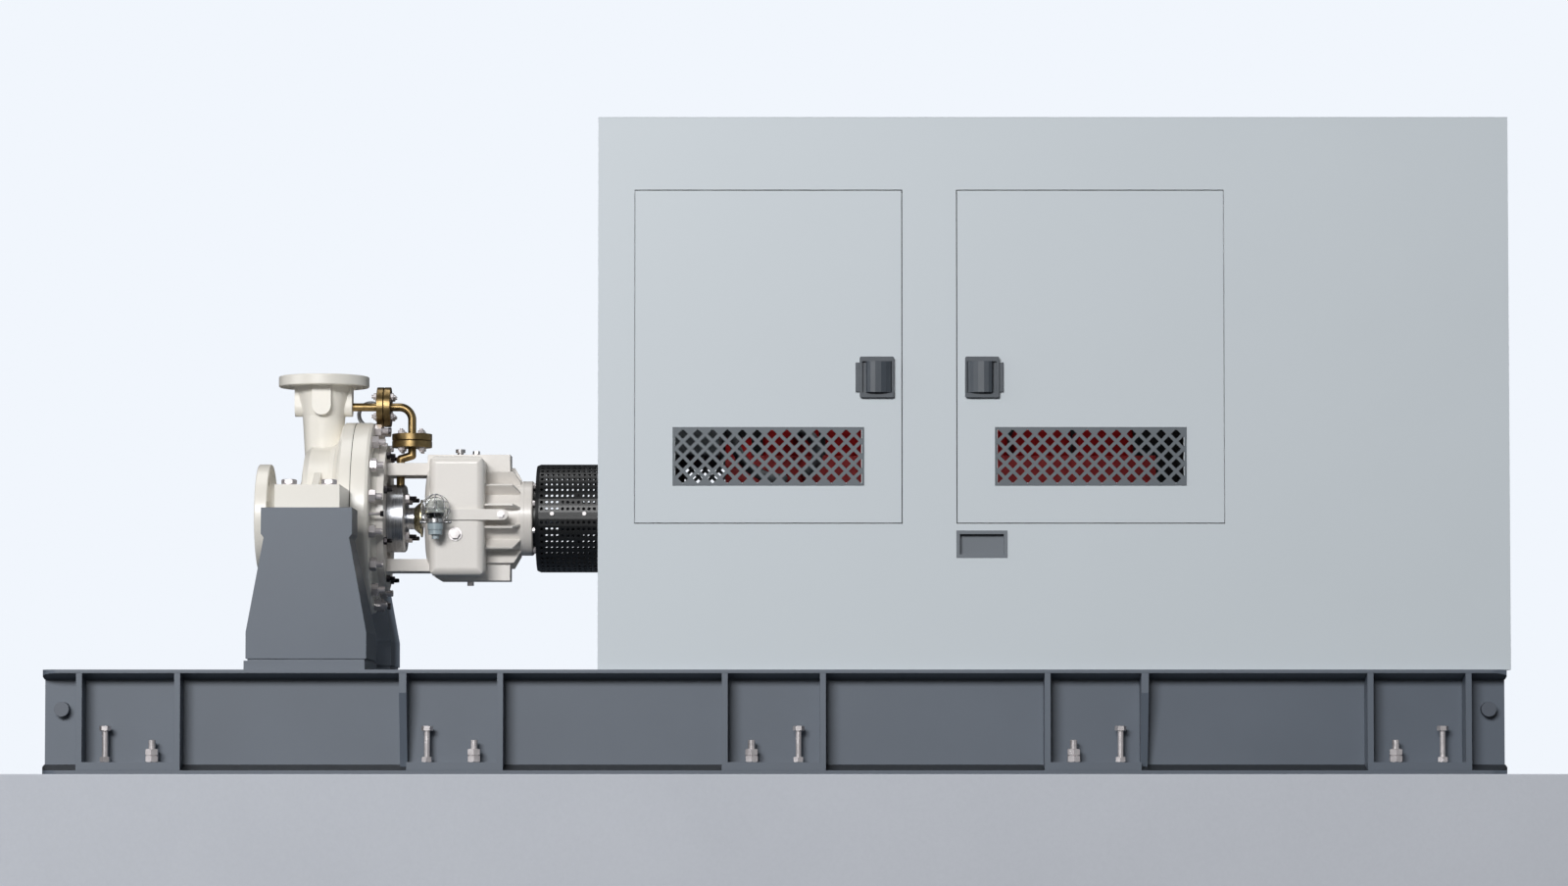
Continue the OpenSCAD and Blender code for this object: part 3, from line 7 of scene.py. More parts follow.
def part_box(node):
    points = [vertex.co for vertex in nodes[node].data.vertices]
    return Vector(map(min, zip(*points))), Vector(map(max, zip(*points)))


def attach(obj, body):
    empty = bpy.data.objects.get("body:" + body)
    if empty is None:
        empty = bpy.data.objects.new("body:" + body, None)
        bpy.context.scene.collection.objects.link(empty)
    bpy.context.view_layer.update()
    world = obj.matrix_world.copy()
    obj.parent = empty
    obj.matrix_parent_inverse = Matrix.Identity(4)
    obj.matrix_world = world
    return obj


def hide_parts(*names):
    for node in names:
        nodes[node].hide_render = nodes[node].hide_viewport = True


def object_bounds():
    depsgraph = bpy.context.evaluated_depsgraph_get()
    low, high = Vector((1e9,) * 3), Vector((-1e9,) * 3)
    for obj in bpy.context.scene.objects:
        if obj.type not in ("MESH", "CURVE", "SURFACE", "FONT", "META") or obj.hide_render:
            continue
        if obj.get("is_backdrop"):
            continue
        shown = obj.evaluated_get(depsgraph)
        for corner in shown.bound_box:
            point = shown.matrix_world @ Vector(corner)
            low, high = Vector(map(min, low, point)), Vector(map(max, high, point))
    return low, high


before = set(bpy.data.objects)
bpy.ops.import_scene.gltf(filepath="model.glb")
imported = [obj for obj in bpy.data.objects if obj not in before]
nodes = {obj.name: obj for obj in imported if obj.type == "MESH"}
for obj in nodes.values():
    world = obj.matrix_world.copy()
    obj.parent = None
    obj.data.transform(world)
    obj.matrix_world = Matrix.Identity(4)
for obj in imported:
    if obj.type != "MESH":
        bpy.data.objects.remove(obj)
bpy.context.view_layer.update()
scene = bpy.context.scene
scene.view_settings.view_transform = "Standard"


# Camera
# It stands at the height of the skid's foot, 16.6 m in front of the pump's axis, with a long
# lens, so that the near flange hides the top of the skid. It looks up a little, and a small
# shift does the rest, so that views from other sides still hold the whole object.
camera = bpy.data.objects.new("camera", bpy.data.cameras.new("camera"))
camera.data.lens = 108.25
camera.data.sensor_width = 36.0
camera.data.shift_y = 0.08
camera.data.clip_end = 300.0
camera.location = (0.024, -16.6, 0.0)
camera.rotation_euler = (math.radians(92.497), 0.0, 0.0)
scene.collection.objects.link(camera)
scene.camera = camera


# Studio
# A concrete plinth with a pale floor carries the skid, in front of a cool white wall. A wide
# window lamp lights it from the front and left, and weaker lamps the pump, the back and the end.
def srgb(red, green, blue):
    """A colour picked on a screen, as the light that it stands for."""
    return tuple(
        part / 12.92 if part <= 0.04045 else ((part + 0.055) / 1.055) ** 2.4
        for part in (red / 255, green / 255, blue / 255)
    ) + (1.0,)


class Shade:
    """One socket of a finish. Python's operators add Math nodes, and node() adds any other."""

    def __init__(self, tree, socket):
        self.tree, self.socket = tree, socket

    def node(self, kind, settings=None, values=None, out=0):
        made = self.tree.nodes.new(kind)
        for key, value in (settings or {}).items():
            setattr(made, key, value)
        for key, value in (values or {}).items():
            if isinstance(value, Shade):
                self.tree.links.new(value.socket, made.inputs[key])
            else:
                made.inputs[key].default_value = value
        return Shade(self.tree, made.outputs[out])

    def maths(self, operation, *others):
        values = dict(enumerate((self,) + others))
        return self.node("ShaderNodeMath", {"operation": operation}, values)

    def xyz(self):
        parts = self.node("ShaderNodeSeparateXYZ", None, {"Vector": self}).socket.node.outputs
        return [Shade(self.tree, part) for part in parts]

    def blend(self, one, other):
        return self.node("ShaderNodeMix", {"data_type": "RGBA"}, {0: self, 6: one, 7: other}, 2)

    def noise(self, size, detail=2.0, rough=0.5):
        return self.node("ShaderNodeTexNoise", None, {
            "Vector": self, "Scale": 1.0 / size, "Detail": detail, "Roughness": rough})

    def step(self, low, high):
        return self.node("ShaderNodeMapRange", None,
                         {"Value": self, "From Min": low, "From Max": high})

    def __add__(self, other):
        return self.maths("ADD", other)

    def __sub__(self, other):
        return self.maths("SUBTRACT", other)

    def __rsub__(self, other):
        return self.maths("MULTIPLY_ADD", -1.0, other)

    def __mul__(self, other):
        return self.maths("MULTIPLY", other)

    def __truediv__(self, other):
        return self.maths("DIVIDE", other)

    __radd__ = __add__
    __rmul__ = __mul__


def new_finish(name):
    """A material, its Principled shader, and the object's own coordinates to draw patterns from."""
    made = bpy.data.materials.new(name)
    made.use_nodes = True
    tree = made.node_tree
    place = tree.nodes.new("ShaderNodeTexCoord").outputs["Object"]
    return made, tree.nodes["Principled BSDF"], Shade(tree, place)


def set_shader(shader, here, **values):
    """Sets or links the shader's sockets, whose names are written with _ for a space."""
    for key, value in values.items():
        socket = shader.inputs[key.replace("_", " ")]
        if isinstance(value, Shade):
            here.tree.links.new(value.socket, socket)
        else:
            socket.default_value = value


concrete, shader, here = new_finish("cast concrete")
cloud = here.noise(0.9, 5.0, 0.6)
speck = here.noise(0.012, 4.0, 0.7)
pores = here.node("ShaderNodeTexVoronoi", None, {"Vector": here, "Scale": 28.0})
pit = 1.0 - pores.step(0.03, 0.07)
tone = (cloud * 0.6 + speck * 0.4).blend(srgb(188, 192, 201), srgb(210, 214, 222))
bump = here.node("ShaderNodeBump", None, {
    "Height": speck - pit * 0.6, "Distance": 0.0012, "Strength": 0.5})
set_shader(shader, here, Base_Color=tone, Roughness=0.82, Normal=bump)


def seen_plainly(tree):
    """1 for what the camera sees, also through glass, and 0 for mirrored and scattered light."""
    path = tree.nodes.new("ShaderNodeLightPath").outputs
    through_glass = Shade(tree, path["Is Transmission Ray"])
    return Shade(tree, path["Is Camera Ray"]).maths("MAXIMUM", through_glass)


# The floor is pale to the eye but throws little light up, so that undersides stay dark.
screed, shader, here = new_finish("floor coat")
cloud = here.noise(0.6, 5.0, 0.6)
pale = cloud.blend(srgb(196, 200, 207), srgb(212, 216, 222))
tone = seen_plainly(here.tree).blend(srgb(36, 37, 40), pale)
set_shader(shader, here, Base_Color=tone, Roughness=0.8, Specular_IOR_Level=0.1)

plinth_front, plinth_arris = -0.93, 0.004
plinth_size = Vector((26.0, 11.0, 2.0))
mesh = bpy.data.meshes.new("plinth")
shape = bmesh.new()
bmesh.ops.create_cube(shape, size=1.0)
bmesh.ops.scale(shape, vec=plinth_size, verts=shape.verts)
bmesh.ops.translate(shape, vec=(0.0, plinth_front + plinth_size.y / 2, -plinth_size.z / 2),
                    verts=shape.verts)
top_edges = [edge for edge in shape.edges if all(vert.co.z > -plinth_arris for vert in edge.verts)]
bmesh.ops.bevel(shape, geom=top_edges, offset=plinth_arris, segments=3, affect="EDGES")
for face in shape.faces:
    face.material_index = int(face.normal.z > 0.99)
shape.to_mesh(mesh)
shape.free()
mesh.materials.append(concrete)
mesh.materials.append(screed)
plinth = bpy.data.objects.new("plinth", mesh)
scene.collection.objects.link(plinth)
plinth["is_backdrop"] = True

world = bpy.data.worlds.new("studio")
scene.world = world
world.use_nodes = True
tree = world.node_tree
room = tree.nodes["Background"]
room.inputs["Color"].default_value = (0.93, 0.96, 1.0, 1.0)
room.inputs["Strength"].default_value = 0.06
wall = tree.nodes.new("ShaderNodeBackground")
wall.inputs["Color"].default_value = srgb(241, 246, 253)
either = tree.nodes.new("ShaderNodeMixShader")
tree.links.new(seen_plainly(tree).socket, either.inputs[0])
tree.links.new(room.outputs[0], either.inputs[1])
tree.links.new(wall.outputs[0], either.inputs[2])
tree.links.new(either.outputs[0], tree.nodes["World Output"].inputs["Surface"])


def soft_lamp(name, place, aim, width, height, power, glare=True):
    """A flat lamp. Without glare no surface mirrors it."""
    lamp = bpy.data.lights.new(name, "AREA")
    lamp.shape = "RECTANGLE"
    lamp.size, lamp.size_y, lamp.energy = width, height, power
    stand = bpy.data.objects.new(name, lamp)
    stand.visible_glossy = glare
    stand.location = place
    stand.rotation_euler = (Vector(aim) - Vector(place)).to_track_quat("-Z", "Y").to_euler()
    scene.collection.objects.link(stand)


def glow_card(name, start, end, foot, top, glow):
    """An upright lit card that only reflections see, as photographers set to shape bright metal."""
    card, shader, here = new_finish(name)
    set_shader(shader, here, Base_Color=srgb(10, 10, 10), Roughness=1.0, Emission_Strength=glow,
               Emission_Color=srgb(252, 253, 255))
    mesh = bpy.data.meshes.new(name)
    corners = [start + (foot,), end + (foot,), end + (top,), start + (top,)]
    mesh.from_pydata(corners, [], [(0, 1, 2, 3)])
    mesh.materials.append(card)
    flag = bpy.data.objects.new(name, mesh)
    flag.visible_camera = flag.visible_diffuse = False
    flag.visible_shadow = flag.visible_transmission = False
    scene.collection.objects.link(flag)
    flag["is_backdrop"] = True


glow_card("window card", (-15.0, -22.0), (5.0, -22.0), 2.5, 14.0, 1.1)
glow_card("low card", (-12.0, -20.0), (1.0, -20.0), 0.3, 2.2, 0.6)
glow_card("left card", (-20.0, -20.0), (-18.0, -2.0), 0.0, 8.0, 1.0)
glow_card("right card", (14.0, -18.0), (16.0, -3.0), 0.0, 6.0, 0.6)
soft_lamp("window lamp", (-7.0, -27.0, 9.8), (0.3, 0.0, 1.0), 12.0, 5.0, 6300.0)
soft_lamp("side lamp", (-9.5, -3.5, 3.2), (-0.6, 0.0, 1.0), 4.0, 4.0, 120.0)
soft_lamp("top lamp", (-2.5, 0.5, 8.0), (-1.0, 0.0, 0.5), 5.0, 2.5, 100.0)
soft_lamp("back lamp", (-3.0, 19.0, 7.5), (0.0, 0.0, 0.8), 12.0, 6.0, 3200.0, glare=False)
soft_lamp("end lamp", (19.0, 5.0, 9.0), (2.2, 0.0, 1.0), 6.0, 4.0, 3800.0, glare=False)
soft_lamp("canopy lamp", (0.45, -0.62, 2.05), (0.45, -0.60, 0.9), 1.9, 0.1, 6.0)


# Skid
# Two I-section rails, end and cross members, bolt chairs, deck and lifting bars, all welded
# from plate and sprayed with a slate grey textured paint, which rounds the arrises.
def dress(finish, *names):
    """Gives CAD nodes their finish."""
    for name in names:
        for own in nodes[name].material_slots:
            own.material = finish


def shaded(colour, share):
    """The colour, made darker by a share under 1 or paler by one over it."""
    return tuple(min(1.0, part * share) for part in colour[:3]) + (1.0,)


def relief(here, height, depth, arris, strength=1.0):
    """The fine relief of a surface whose arrises are rounded."""
    round_edge = here.node("ShaderNodeBevel", {"samples": 4}, {"Radius": arris})
    return here.node("ShaderNodeBump", None, {
        "Height": height, "Distance": depth, "Strength": strength, "Normal": round_edge})


# By default the cover colour is near black, the colour of painted shade.
def painted(name, colour, roughness, peel=0.0016, depth=0.00003, tone=0.05, arris=0.0015, coat=0.0,
            lining_or_painted_shade=None, cover=srgb(14, 14, 15)):
    """Sprayed paint: slow changes of tone and gloss, orange peel, and arrises rounded by the coat.

    A given mask gives the share of the paint that the cover colour takes over at a place: a dark
    lining, or a painted shade.
    """
    made, shader, here = new_finish(name)
    cloud = here.noise(0.55, 4.0, 0.6)
    grain = here.noise(peel, 2.0, 0.55)
    patches = (cloud * 0.75 + grain * 0.25).step(0.3, 0.7)
    colours = patches.blend(shaded(colour, 1.0 - tone), shaded(colour, 1.0 + tone))
    if lining_or_painted_shade:
        colours = lining_or_painted_shade(here).blend(colours, cover)
    set_shader(shader, here, Base_Color=colours, Roughness=cloud * 0.08 + (roughness - 0.04),
               Normal=relief(here, grain, depth, arris), Coat_Weight=coat, Coat_Roughness=0.15)
    return made


def painted_ledge_shade(here):
    """Painted shade: black on the sloping top of the lower flanges, which lies in shade."""
    y, z = here.xyz()[1:]
    web_face, edge_h, root_h = 0.705, 0.012, 0.032
    soft, most = 0.001, 0.93
    outside = y.maths("ABSOLUTE").step(web_face + 0.0002, web_face + 0.0002 + soft)
    above = z.step(edge_h + 0.0002, edge_h + soft)
    return outside * above * (1.0 - z.step(root_h, root_h + soft)) * most


slate = srgb(92, 101, 113)
slate_gloss, slate_peel, slate_depth, slate_tone = 0.42, 0.0022, 0.00008, 0.06
dress(painted("slate textured paint", slate, slate_gloss, slate_peel, slate_depth, slate_tone),
      "skid_cross_members", "bolt_chairs", "skid_deck", "pump_pedestals")
# The lifting bars take a darker copy of the slate paint: a painted shade.
dress(painted("slate paint darkened for shade on the bars", srgb(83, 90, 101), slate_gloss, slate_peel, slate_depth,
              slate_tone), "lifting_bars")
# The rails' paint is blackened on the slope of the lower flanges: a painted shade.
dress(painted("slate paint on the rails with painted shade", slate, slate_gloss, slate_peel, slate_depth, slate_tone,
              lining_or_painted_shade=painted_ledge_shade), "skid_rails")


# Jack bolts and anchor studs
# Plated steel with plain shanks and chamfered hexagons. At each chair a jack bolt levels the
# skid in a welded nut, and an anchor stud holds it down with two nuts.
def steel(name, colour, roughness, arris=0.0004, marks_size=0.03, metallic=1.0):
    """Plated or ground steel with faint handling marks."""
    made, shader, here = new_finish(name)
    marks = here.noise(marks_size, 5.0, 0.65)
    fine = here.noise(0.0012, 2.0)
    tint = marks.step(0.35, 0.7).blend(shaded(colour, 0.78), colour)
    set_shader(shader, here, Base_Color=tint, Metallic=metallic,
               Roughness=marks * 0.14 + (roughness - 0.07),
               Normal=relief(here, fine, 0.000003, arris, 0.8))
    return made


def hoop(kind, size, z, sides=24, twist=0.0):
    """One ring of a fastener: round, or a hexagon with corners turned down (top) or up (foot)."""
    points = []
    for i in range(sides):
        angle = 2.0 * math.pi * i / sides
        reach, chamfer = size, 0.0
        if kind != "round":
            reach = size / math.cos(angle % (math.pi / 3.0) - math.pi / 6.0)
            chamfer = max(0.0, reach - 0.97 * size) * 0.577 * {"top": -1.0, "foot": 1.0}[kind]
        turned = angle + twist
        points.append((reach * math.cos(turned), reach * math.sin(turned), z + chamfer))
    return points


def fastener(name, *solids):
    """A mesh of closed solids, each given as its hoops from the lowest to the highest."""
    verts, faces = [], []
    for hoops in solids:
        sides, first = len(hoops[0]), len(verts)
        for points in hoops:
            verts.extend(points)
        for level in range(len(hoops) - 1):
            low = first + level * sides
            for i in range(sides):
                after = (i + 1) % sides
                faces.append((low + i, low + after, low + sides + after, low + sides + i))
        faces.append(tuple(reversed(range(first, first + sides))))
        last = first + (len(hoops) - 1) * sides
        faces.append(tuple(range(last, last + sides)))
    mesh = bpy.data.meshes.new(name)
    mesh.from_pydata(verts, [], faces)
    return mesh


def hexagon(across_flats, foot, height, twist=0.0):
    """A nut or head with chamfered corners on both faces."""
    half, top = across_flats / 2.0, foot + height
    levels = (("round", 0.97 * half, foot), ("foot", half, foot),
              ("top", half, top), ("round", 0.97 * half, top))
    return [hoop(kind, size, z, twist=twist) for kind, size, z in levels]


def thread(diameter, foot, top, pitch=0.003, depth=0.0012):
    """A threaded shank with a chamfered end."""
    radius = diameter / 2.0
    hoops = [hoop("round", radius - depth, foot)]
    z = foot + pitch / 2.0
    while z < top - pitch:
        hoops += [hoop("round", radius, z), hoop("round", radius - depth, z + pitch / 2.0)]
        z += pitch
    hoops.append(hoop("round", radius - depth, top - 0.001))
    return hoops + [hoop("round", radius - 2.0 * depth, top)]


def shank(diameter, foot, top, point=0.0):
    """A plain round shank. point is how far its end is chamfered."""
    radius = diameter / 2.0
    levels = [(radius, foot), (radius, top - point), (radius - point, top)]
    return [hoop("round", r, z, 48) for r, z in (levels if point else levels[:2])]


def repeat_tree(name, source, sizes):
    """A Geometry Nodes tree that sets one shape on the points of a circle or a grid."""
    tree = bpy.data.node_groups.new(name, "GeometryNodeTree")
    kinds = {"Shape": "NodeSocketObject", "Finish": "NodeSocketMaterial",
             "Turn": "NodeSocketVector", "Station": "NodeSocketVector"}
    for label, kind in list(sizes.items()) + list(kinds.items()):
        tree.interface.new_socket(label, in_out="INPUT", socket_type=kind)
    tree.interface.new_socket("Mesh", in_out="OUTPUT", socket_type="NodeSocketGeometry")
    inlet, outlet = tree.nodes.new("NodeGroupInput"), tree.nodes.new("NodeGroupOutput")
    points = tree.nodes.new(source)
    for label in sizes:
        tree.links.new(inlet.outputs[label], points.inputs[label])
    shape = tree.nodes.new("GeometryNodeObjectInfo")
    setting = tree.nodes.new("GeometryNodeInstanceOnPoints")
    move = tree.nodes.new("GeometryNodeTransform")
    solid = tree.nodes.new("GeometryNodeRealizeInstances")
    coat = tree.nodes.new("GeometryNodeSetMaterial")
    tree.links.new(inlet.outputs["Shape"], shape.inputs["Object"])
    tree.links.new(points.outputs["Mesh"], setting.inputs["Points"])
    tree.links.new(shape.outputs["Geometry"], setting.inputs["Instance"])
    if source == "GeometryNodeMeshCircle":
        index = Shade(tree, tree.nodes.new("GeometryNodeInputIndex").outputs[0])
        turn = index * (2.0 * math.pi) / Shade(tree, inlet.outputs["Vertices"])
        angles = index.node("ShaderNodeCombineXYZ", None, {"Z": turn})
        tree.links.new(angles.socket, setting.inputs["Rotation"])
    tree.links.new(setting.outputs["Instances"], solid.inputs["Geometry"])
    tree.links.new(solid.outputs["Geometry"], move.inputs["Geometry"])
    tree.links.new(inlet.outputs["Turn"], move.inputs["Rotation"])
    tree.links.new(inlet.outputs["Station"], move.inputs["Translation"])
    tree.links.new(move.outputs["Geometry"], coat.inputs["Geometry"])
    tree.links.new(inlet.outputs["Finish"], coat.inputs["Material"])
    tree.links.new(coat.outputs["Geometry"], outlet.inputs["Mesh"])
    return tree


def grown(tree, shape, **sizes):
    """The plain mesh that a tree makes from a shape, with its sizes set."""
    pattern = bpy.data.objects.new("pattern", shape)
    host = bpy.data.objects.new("host", bpy.data.meshes.new("host"))
    scene.collection.objects.link(host)
    modifier = host.modifiers.new("repeat", "NODES")
    modifier.node_group = tree
    sockets = {item.name: item.identifier for item in tree.interface.items_tree
               if item.in_out == "INPUT"}
    for label, value in dict(sizes, Shape=pattern).items():
        if label.replace("_", " ") in sockets:
            modifier[sockets[label.replace("_", " ")]] = value
    ready = host.evaluated_get(bpy.context.evaluated_depsgraph_get())
    mesh = bpy.data.meshes.new_from_object(ready)
    bpy.data.objects.remove(host)
    bpy.data.objects.remove(pattern)
    return mesh


def piece(name, meshes, body="root", replaces=()):
    """One piece of the scene from one or more meshes, on its body."""
    shape = bmesh.new()
    finishes = []
    for mesh in meshes:
        first = len(shape.faces)
        shape.from_mesh(mesh)
        shape.faces.ensure_lookup_table()
        for face in shape.faces[first:]:
            face.material_index += len(finishes)
        finishes.extend(mesh.materials)
        bpy.data.meshes.remove(mesh)
    joined = bpy.data.meshes.new(name)
    shape.to_mesh(joined)
    shape.free()
    for finish in finishes:
        joined.materials.append(finish)
    made = bpy.data.objects.new(name, joined)
    scene.collection.objects.link(made)
    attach(made, body)
    if replaces:
        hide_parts(*replaces)
    return made


grid_tree = repeat_tree("bolts on a grid", "GeometryNodeMeshGrid", {
    "Vertices X": "NodeSocketInt", "Vertices Y": "NodeSocketInt", "Size X": "NodeSocketFloat",
    "Size Y": "NodeSocketFloat"})
plated = steel("plated steel", srgb(232, 226, 227), 0.25, metallic=0.6)
chair_floor, chair_pitch, bolt_y = 0.040, 1.082, 0.750
jack_off, anchor_off = -0.083, 0.075
left_chairs, right_chairs = (2, -2.174, 1), (3, -0.010, -1)
jack_bolt = fastener("jack bolt", shank(0.020, 0.001, 0.146), hexagon(0.034, 0.145, 0.017),
                     hexagon(0.032, chair_floor, 0.018, 0.4))
anchor_stud = fastener("anchor stud", shank(0.024, 0.001, 0.115, 0.0015),
                       hexagon(0.041, chair_floor, 0.022, 0.55),
                       hexagon(0.041, chair_floor + 0.0225, 0.022, 0.5))
rows = []
for shape, off in ((jack_bolt, jack_off), (anchor_stud, anchor_off)):
    for count, first, side in (left_chairs, right_chairs):
        length = (count - 1) * chair_pitch
        rows.append(grown(grid_tree, shape, Vertices_X=count, Vertices_Y=2, Size_X=length,
                          Size_Y=2 * bolt_y, Turn=(0.0, 0.0, 0.0), Finish=plated,
                          Station=(first + side * off + length / 2, 0.0, 0.0)))
piece("foundation_fasteners", rows, replaces=["foundation_bolts"])


# Pump castings
# The casing, its cover and the bearing housing are steel castings under a smooth ivory enamel.
# The fine roll of the cast skin shows through it, and every arris is soft.
ivory = painted("ivory enamel", srgb(240, 236, 227), 0.34, 0.009, 0.00016, 0.02, 0.003, 0.25)
dress(ivory, "pump_casing", "casing_cover")
# The bearing housing, its end cover and the guard strap take a darker copy of the ivory enamel:
# painted shade.
dress(painted("ivory enamel darkened for shade on the bearing housing", srgb(229, 224, 218), 0.36, 0.009, 0.00016,
              0.02, 0.003, 0.2), "bearing_housing", "bearing_end_cover", "guard_strap")


# Cover gasket
# A flat ring cut from graphite sheet, gripped between the casing's flange and its cover. It
# stands 0.3 mm proud all round, so that its edge shows as a dark line.
def ring(name, profile, sides=144):
    """A mesh of a closed profile of radius and height, turned about Z."""
    verts, faces = [], []
    count = len(profile)
    for i in range(sides):
        angle = 2.0 * math.pi * i / sides
        verts.extend((r * math.cos(angle), r * math.sin(angle), z) for r, z in profile)
        after = (i + 1) % sides * count
        for k in range(count):
            turn = (k + 1) % count
            faces.append((i * count + k, after + k, after + turn, i * count + turn))
    mesh = bpy.data.meshes.new(name)
    mesh.from_pydata(verts, [], faces)
    return mesh


def set_down(shape, station, finish, turn=(0.0, 0.0, 0.0)):
    """One shape by itself, turned and moved to its station."""
    return grown(grid_tree, shape, Vertices_X=1, Vertices_Y=1, Turn=turn, Station=station,
                 Finish=finish)


graphite = steel("graphite", srgb(66, 64, 62), 0.6)
split_x, shaft_z, joint_r = -1.478, 0.9, 0.337
inside_r, proud_r, half_t = 0.324, joint_r + 0.0003, 0.0011
about_shaft = (0.0, math.pi / 2, 0.0)
seam = ring("gasket ring", [(inside_r, -half_t), (proud_r, -half_t), (proud_r, half_t),
                            (inside_r, half_t)])
piece("cover_gasket", [set_down(seam, (split_x, 0.0, shaft_z), graphite, about_shaft)])


# Bolting of the pump
# Sixteen cover studs with heavy nuts, and the foot, yoke, gland and end cover bolts. The nuts are
# plated, and the jackscrews, yoke bolts and gland studs are blackened.
circle_tree = repeat_tree("bolts on a circle", "GeometryNodeMeshCircle", {
    "Vertices": "NodeSocketInt", "Radius": "NodeSocketFloat"})
black_steel = steel("blackened steel", srgb(80, 77, 80), 0.3)


def bolts_round_shaft(shape, count, radius, station, first, finish):
    """Bolts round the shaft, heads towards the canopy, the first one first degrees from the top."""
    from_top = Matrix.Rotation(math.radians(first), 3, "Z")
    to_shaft = Matrix(((0, 0, 1), (0, -1, 0), (1, 0, 0))) @ from_top
    return grown(circle_tree, shape, Vertices=count, Radius=radius, Finish=finish,
                 Turn=tuple(to_shaft.to_euler()), Station=(station, 0.0, shaft_z))


cover_x, ring_x, gland_end = -1.413, -1.394, -1.306
stud_r, yoke_r, gland_r, end_cover_r = 0.310, 0.233, 0.095, 0.121
cover_stud = fastener("cover stud", hexagon(0.041, 0.0, 0.024), thread(0.024, 0.020, 0.046))
jack_rod = fastener("jackscrew", thread(0.011, 0.0, 0.042, 0.002, 0.0006))
piece("cover_fasteners", [bolts_round_shaft(cover_stud, 16, stud_r, cover_x, 11.25, plated),
                          bolts_round_shaft(jack_rod, 4, stud_r, cover_x, 90.0, plated)],
      replaces=["cover_studs"])

foot_bolt = fastener("foot bolt", [hoop("round", 0.029, 0.0), hoop("round", 0.029, 0.004)],
                     hexagon(0.046, 0.004, 0.017))
gland_nut = fastener("gland nut", hexagon(0.027, 0.0, 0.015))
cap_bolt = fastener("cap bolt", hexagon(0.018, 0.0, 0.009))
foot_x, foot_off, foot_y, foot_top = -1.589, 0.068, 0.610, 0.979
end_cover_x = -0.857
piece("pump_fasteners",
      [grown(grid_tree, foot_bolt, Vertices_X=2, Vertices_Y=2, Size_X=2 * foot_off,
             Size_Y=2 * foot_y, Turn=(0.0, 0.0, 0.0), Station=(foot_x, 0.0, foot_top),
             Finish=plated),
       bolts_round_shaft(gland_nut, 4, gland_r, gland_end, 45.0, plated),
       bolts_round_shaft(cap_bolt, 8, end_cover_r, end_cover_x, 22.5, plated)],
      replaces=["hex_bolts"])

yoke_bolt = fastener("yoke bolt", hexagon(0.024, 0.025, 0.012), thread(0.016, 0.036, 0.055, 0.002))
gland_stud = fastener("gland stud", thread(0.016, 0.014, 0.040, 0.002))
jack_head = fastener("jackscrew head", hexagon(0.019, 0.040, 0.012))
piece("blackened_fasteners",
      [bolts_round_shaft(yoke_bolt, 8, yoke_r, ring_x, 22.5, black_steel),
       bolts_round_shaft(gland_stud, 4, gland_r, gland_end, 45.0, black_steel),
       bolts_round_shaft(jack_head, 4, stud_r, cover_x, 90.0, black_steel)])
dress(steel("plated screws", srgb(196, 192, 192), 0.3), "guard_screws", "housing_plugs")
dress(steel("forged grey steel", srgb(150, 152, 156), 0.45), "lifting_eye")


# Seal gland and shafts
# The gland that holds the shaft seal is bolted to the cover. It is turned and polished stainless
# steel, with the fine rings of the lathe tool still on it, and so are both shafts.
def turned_steel(name, colour, roughness, ring=0.0011, depth=0.00002):
    """Steel straight off the lathe: rings about the shaft, some of them a little duller."""
    made, shader, here = new_finish(name)
    x, y, z = here.xyz()
    up = z - shaft_z
    radius = (y * y + up * up).maths("SQRT")
    rings = here.node("ShaderNodeCombineXYZ", None, {"X": x, "Y": radius})
    groove = rings.noise(ring, 3.0, 0.7)
    band = rings.noise(0.011, 2.0)
    tint = band.step(0.3, 0.7).blend(shaded(colour, 0.78), colour)
    set_shader(shader, here, Base_Color=tint, Metallic=1.0,
               Roughness=groove * 0.12 + (roughness - 0.06),
               Normal=relief(here, groove, depth, 0.0012))
    return made


dress(turned_steel("polished stainless steel", srgb(212, 214, 219), 0.27), "seal_gland",
      "pump_shaft", "output_shaft")
dress(turned_steel("bearing steel", srgb(180, 182, 188), 0.15), "bearing_outer_rings")


# Flush piping
# Drawn aluminium bronze pipe and flanges, which have dulled to an olive brown with brighter
# rubbed places, and plated flange bolts.
def bronze_finish(name, colour, roughness):
    """Handled bronze: brown patina in clouds over the brighter metal."""
    made, shader, here = new_finish(name)
    cloud = here.noise(0.035, 5.0, 0.62)
    fine = here.noise(0.0016, 3.0)
    tint = (cloud * 0.8 + fine * 0.2).step(0.34, 0.62).blend(shaded(colour, 0.42), colour)
    set_shader(shader, here, Base_Color=tint, Metallic=1.0,
               Roughness=(1.0 - cloud) * 0.25 + (roughness - 0.1),
               Normal=relief(here, fine, 0.00004, 0.001))
    return made


bronze = bronze_finish("dull bronze", srgb(158, 134, 92), 0.3)
dress(bronze, "flush_pipes")
dress(bronze_finish("turned brass", srgb(214, 204, 168), 0.24), "slinger_ring")

pair_r, pair_t, gap, arris = 0.0705, 0.023, 0.002, 0.0012
gasket_r, flange_bolt_r = 0.060, 0.0495
disc = [(pair_r - arris, 0.0), (pair_r, arris), (pair_r, pair_t - arris), (pair_r - arris, pair_t)]
flanges = fastener("flange pair", [hoop("round", r, z, 72) for r, z in disc],
                   [hoop("round", r, z + pair_t + gap, 72) for r, z in disc])
gasket = fastener("gasket", [hoop("round", gasket_r, z, 48) for z in (pair_t, pair_t + gap)])
nut, nut_h, far_face = 0.022, 0.011, 2 * pair_t + gap
flange_bolt = fastener("flange bolt", thread(0.014, -0.018, -0.010, 0.002),
                       hexagon(nut, -nut_h, nut_h), hexagon(nut, far_face, nut_h),
                       thread(0.014, far_face + 0.010, far_face + 0.018, 0.002))
level_pair = about_shaft, (-1.410, 0.0, 1.293)
upright_pair = (0.0, 0.0, 0.0), (-1.288, 0.0, 1.150)
parts = []
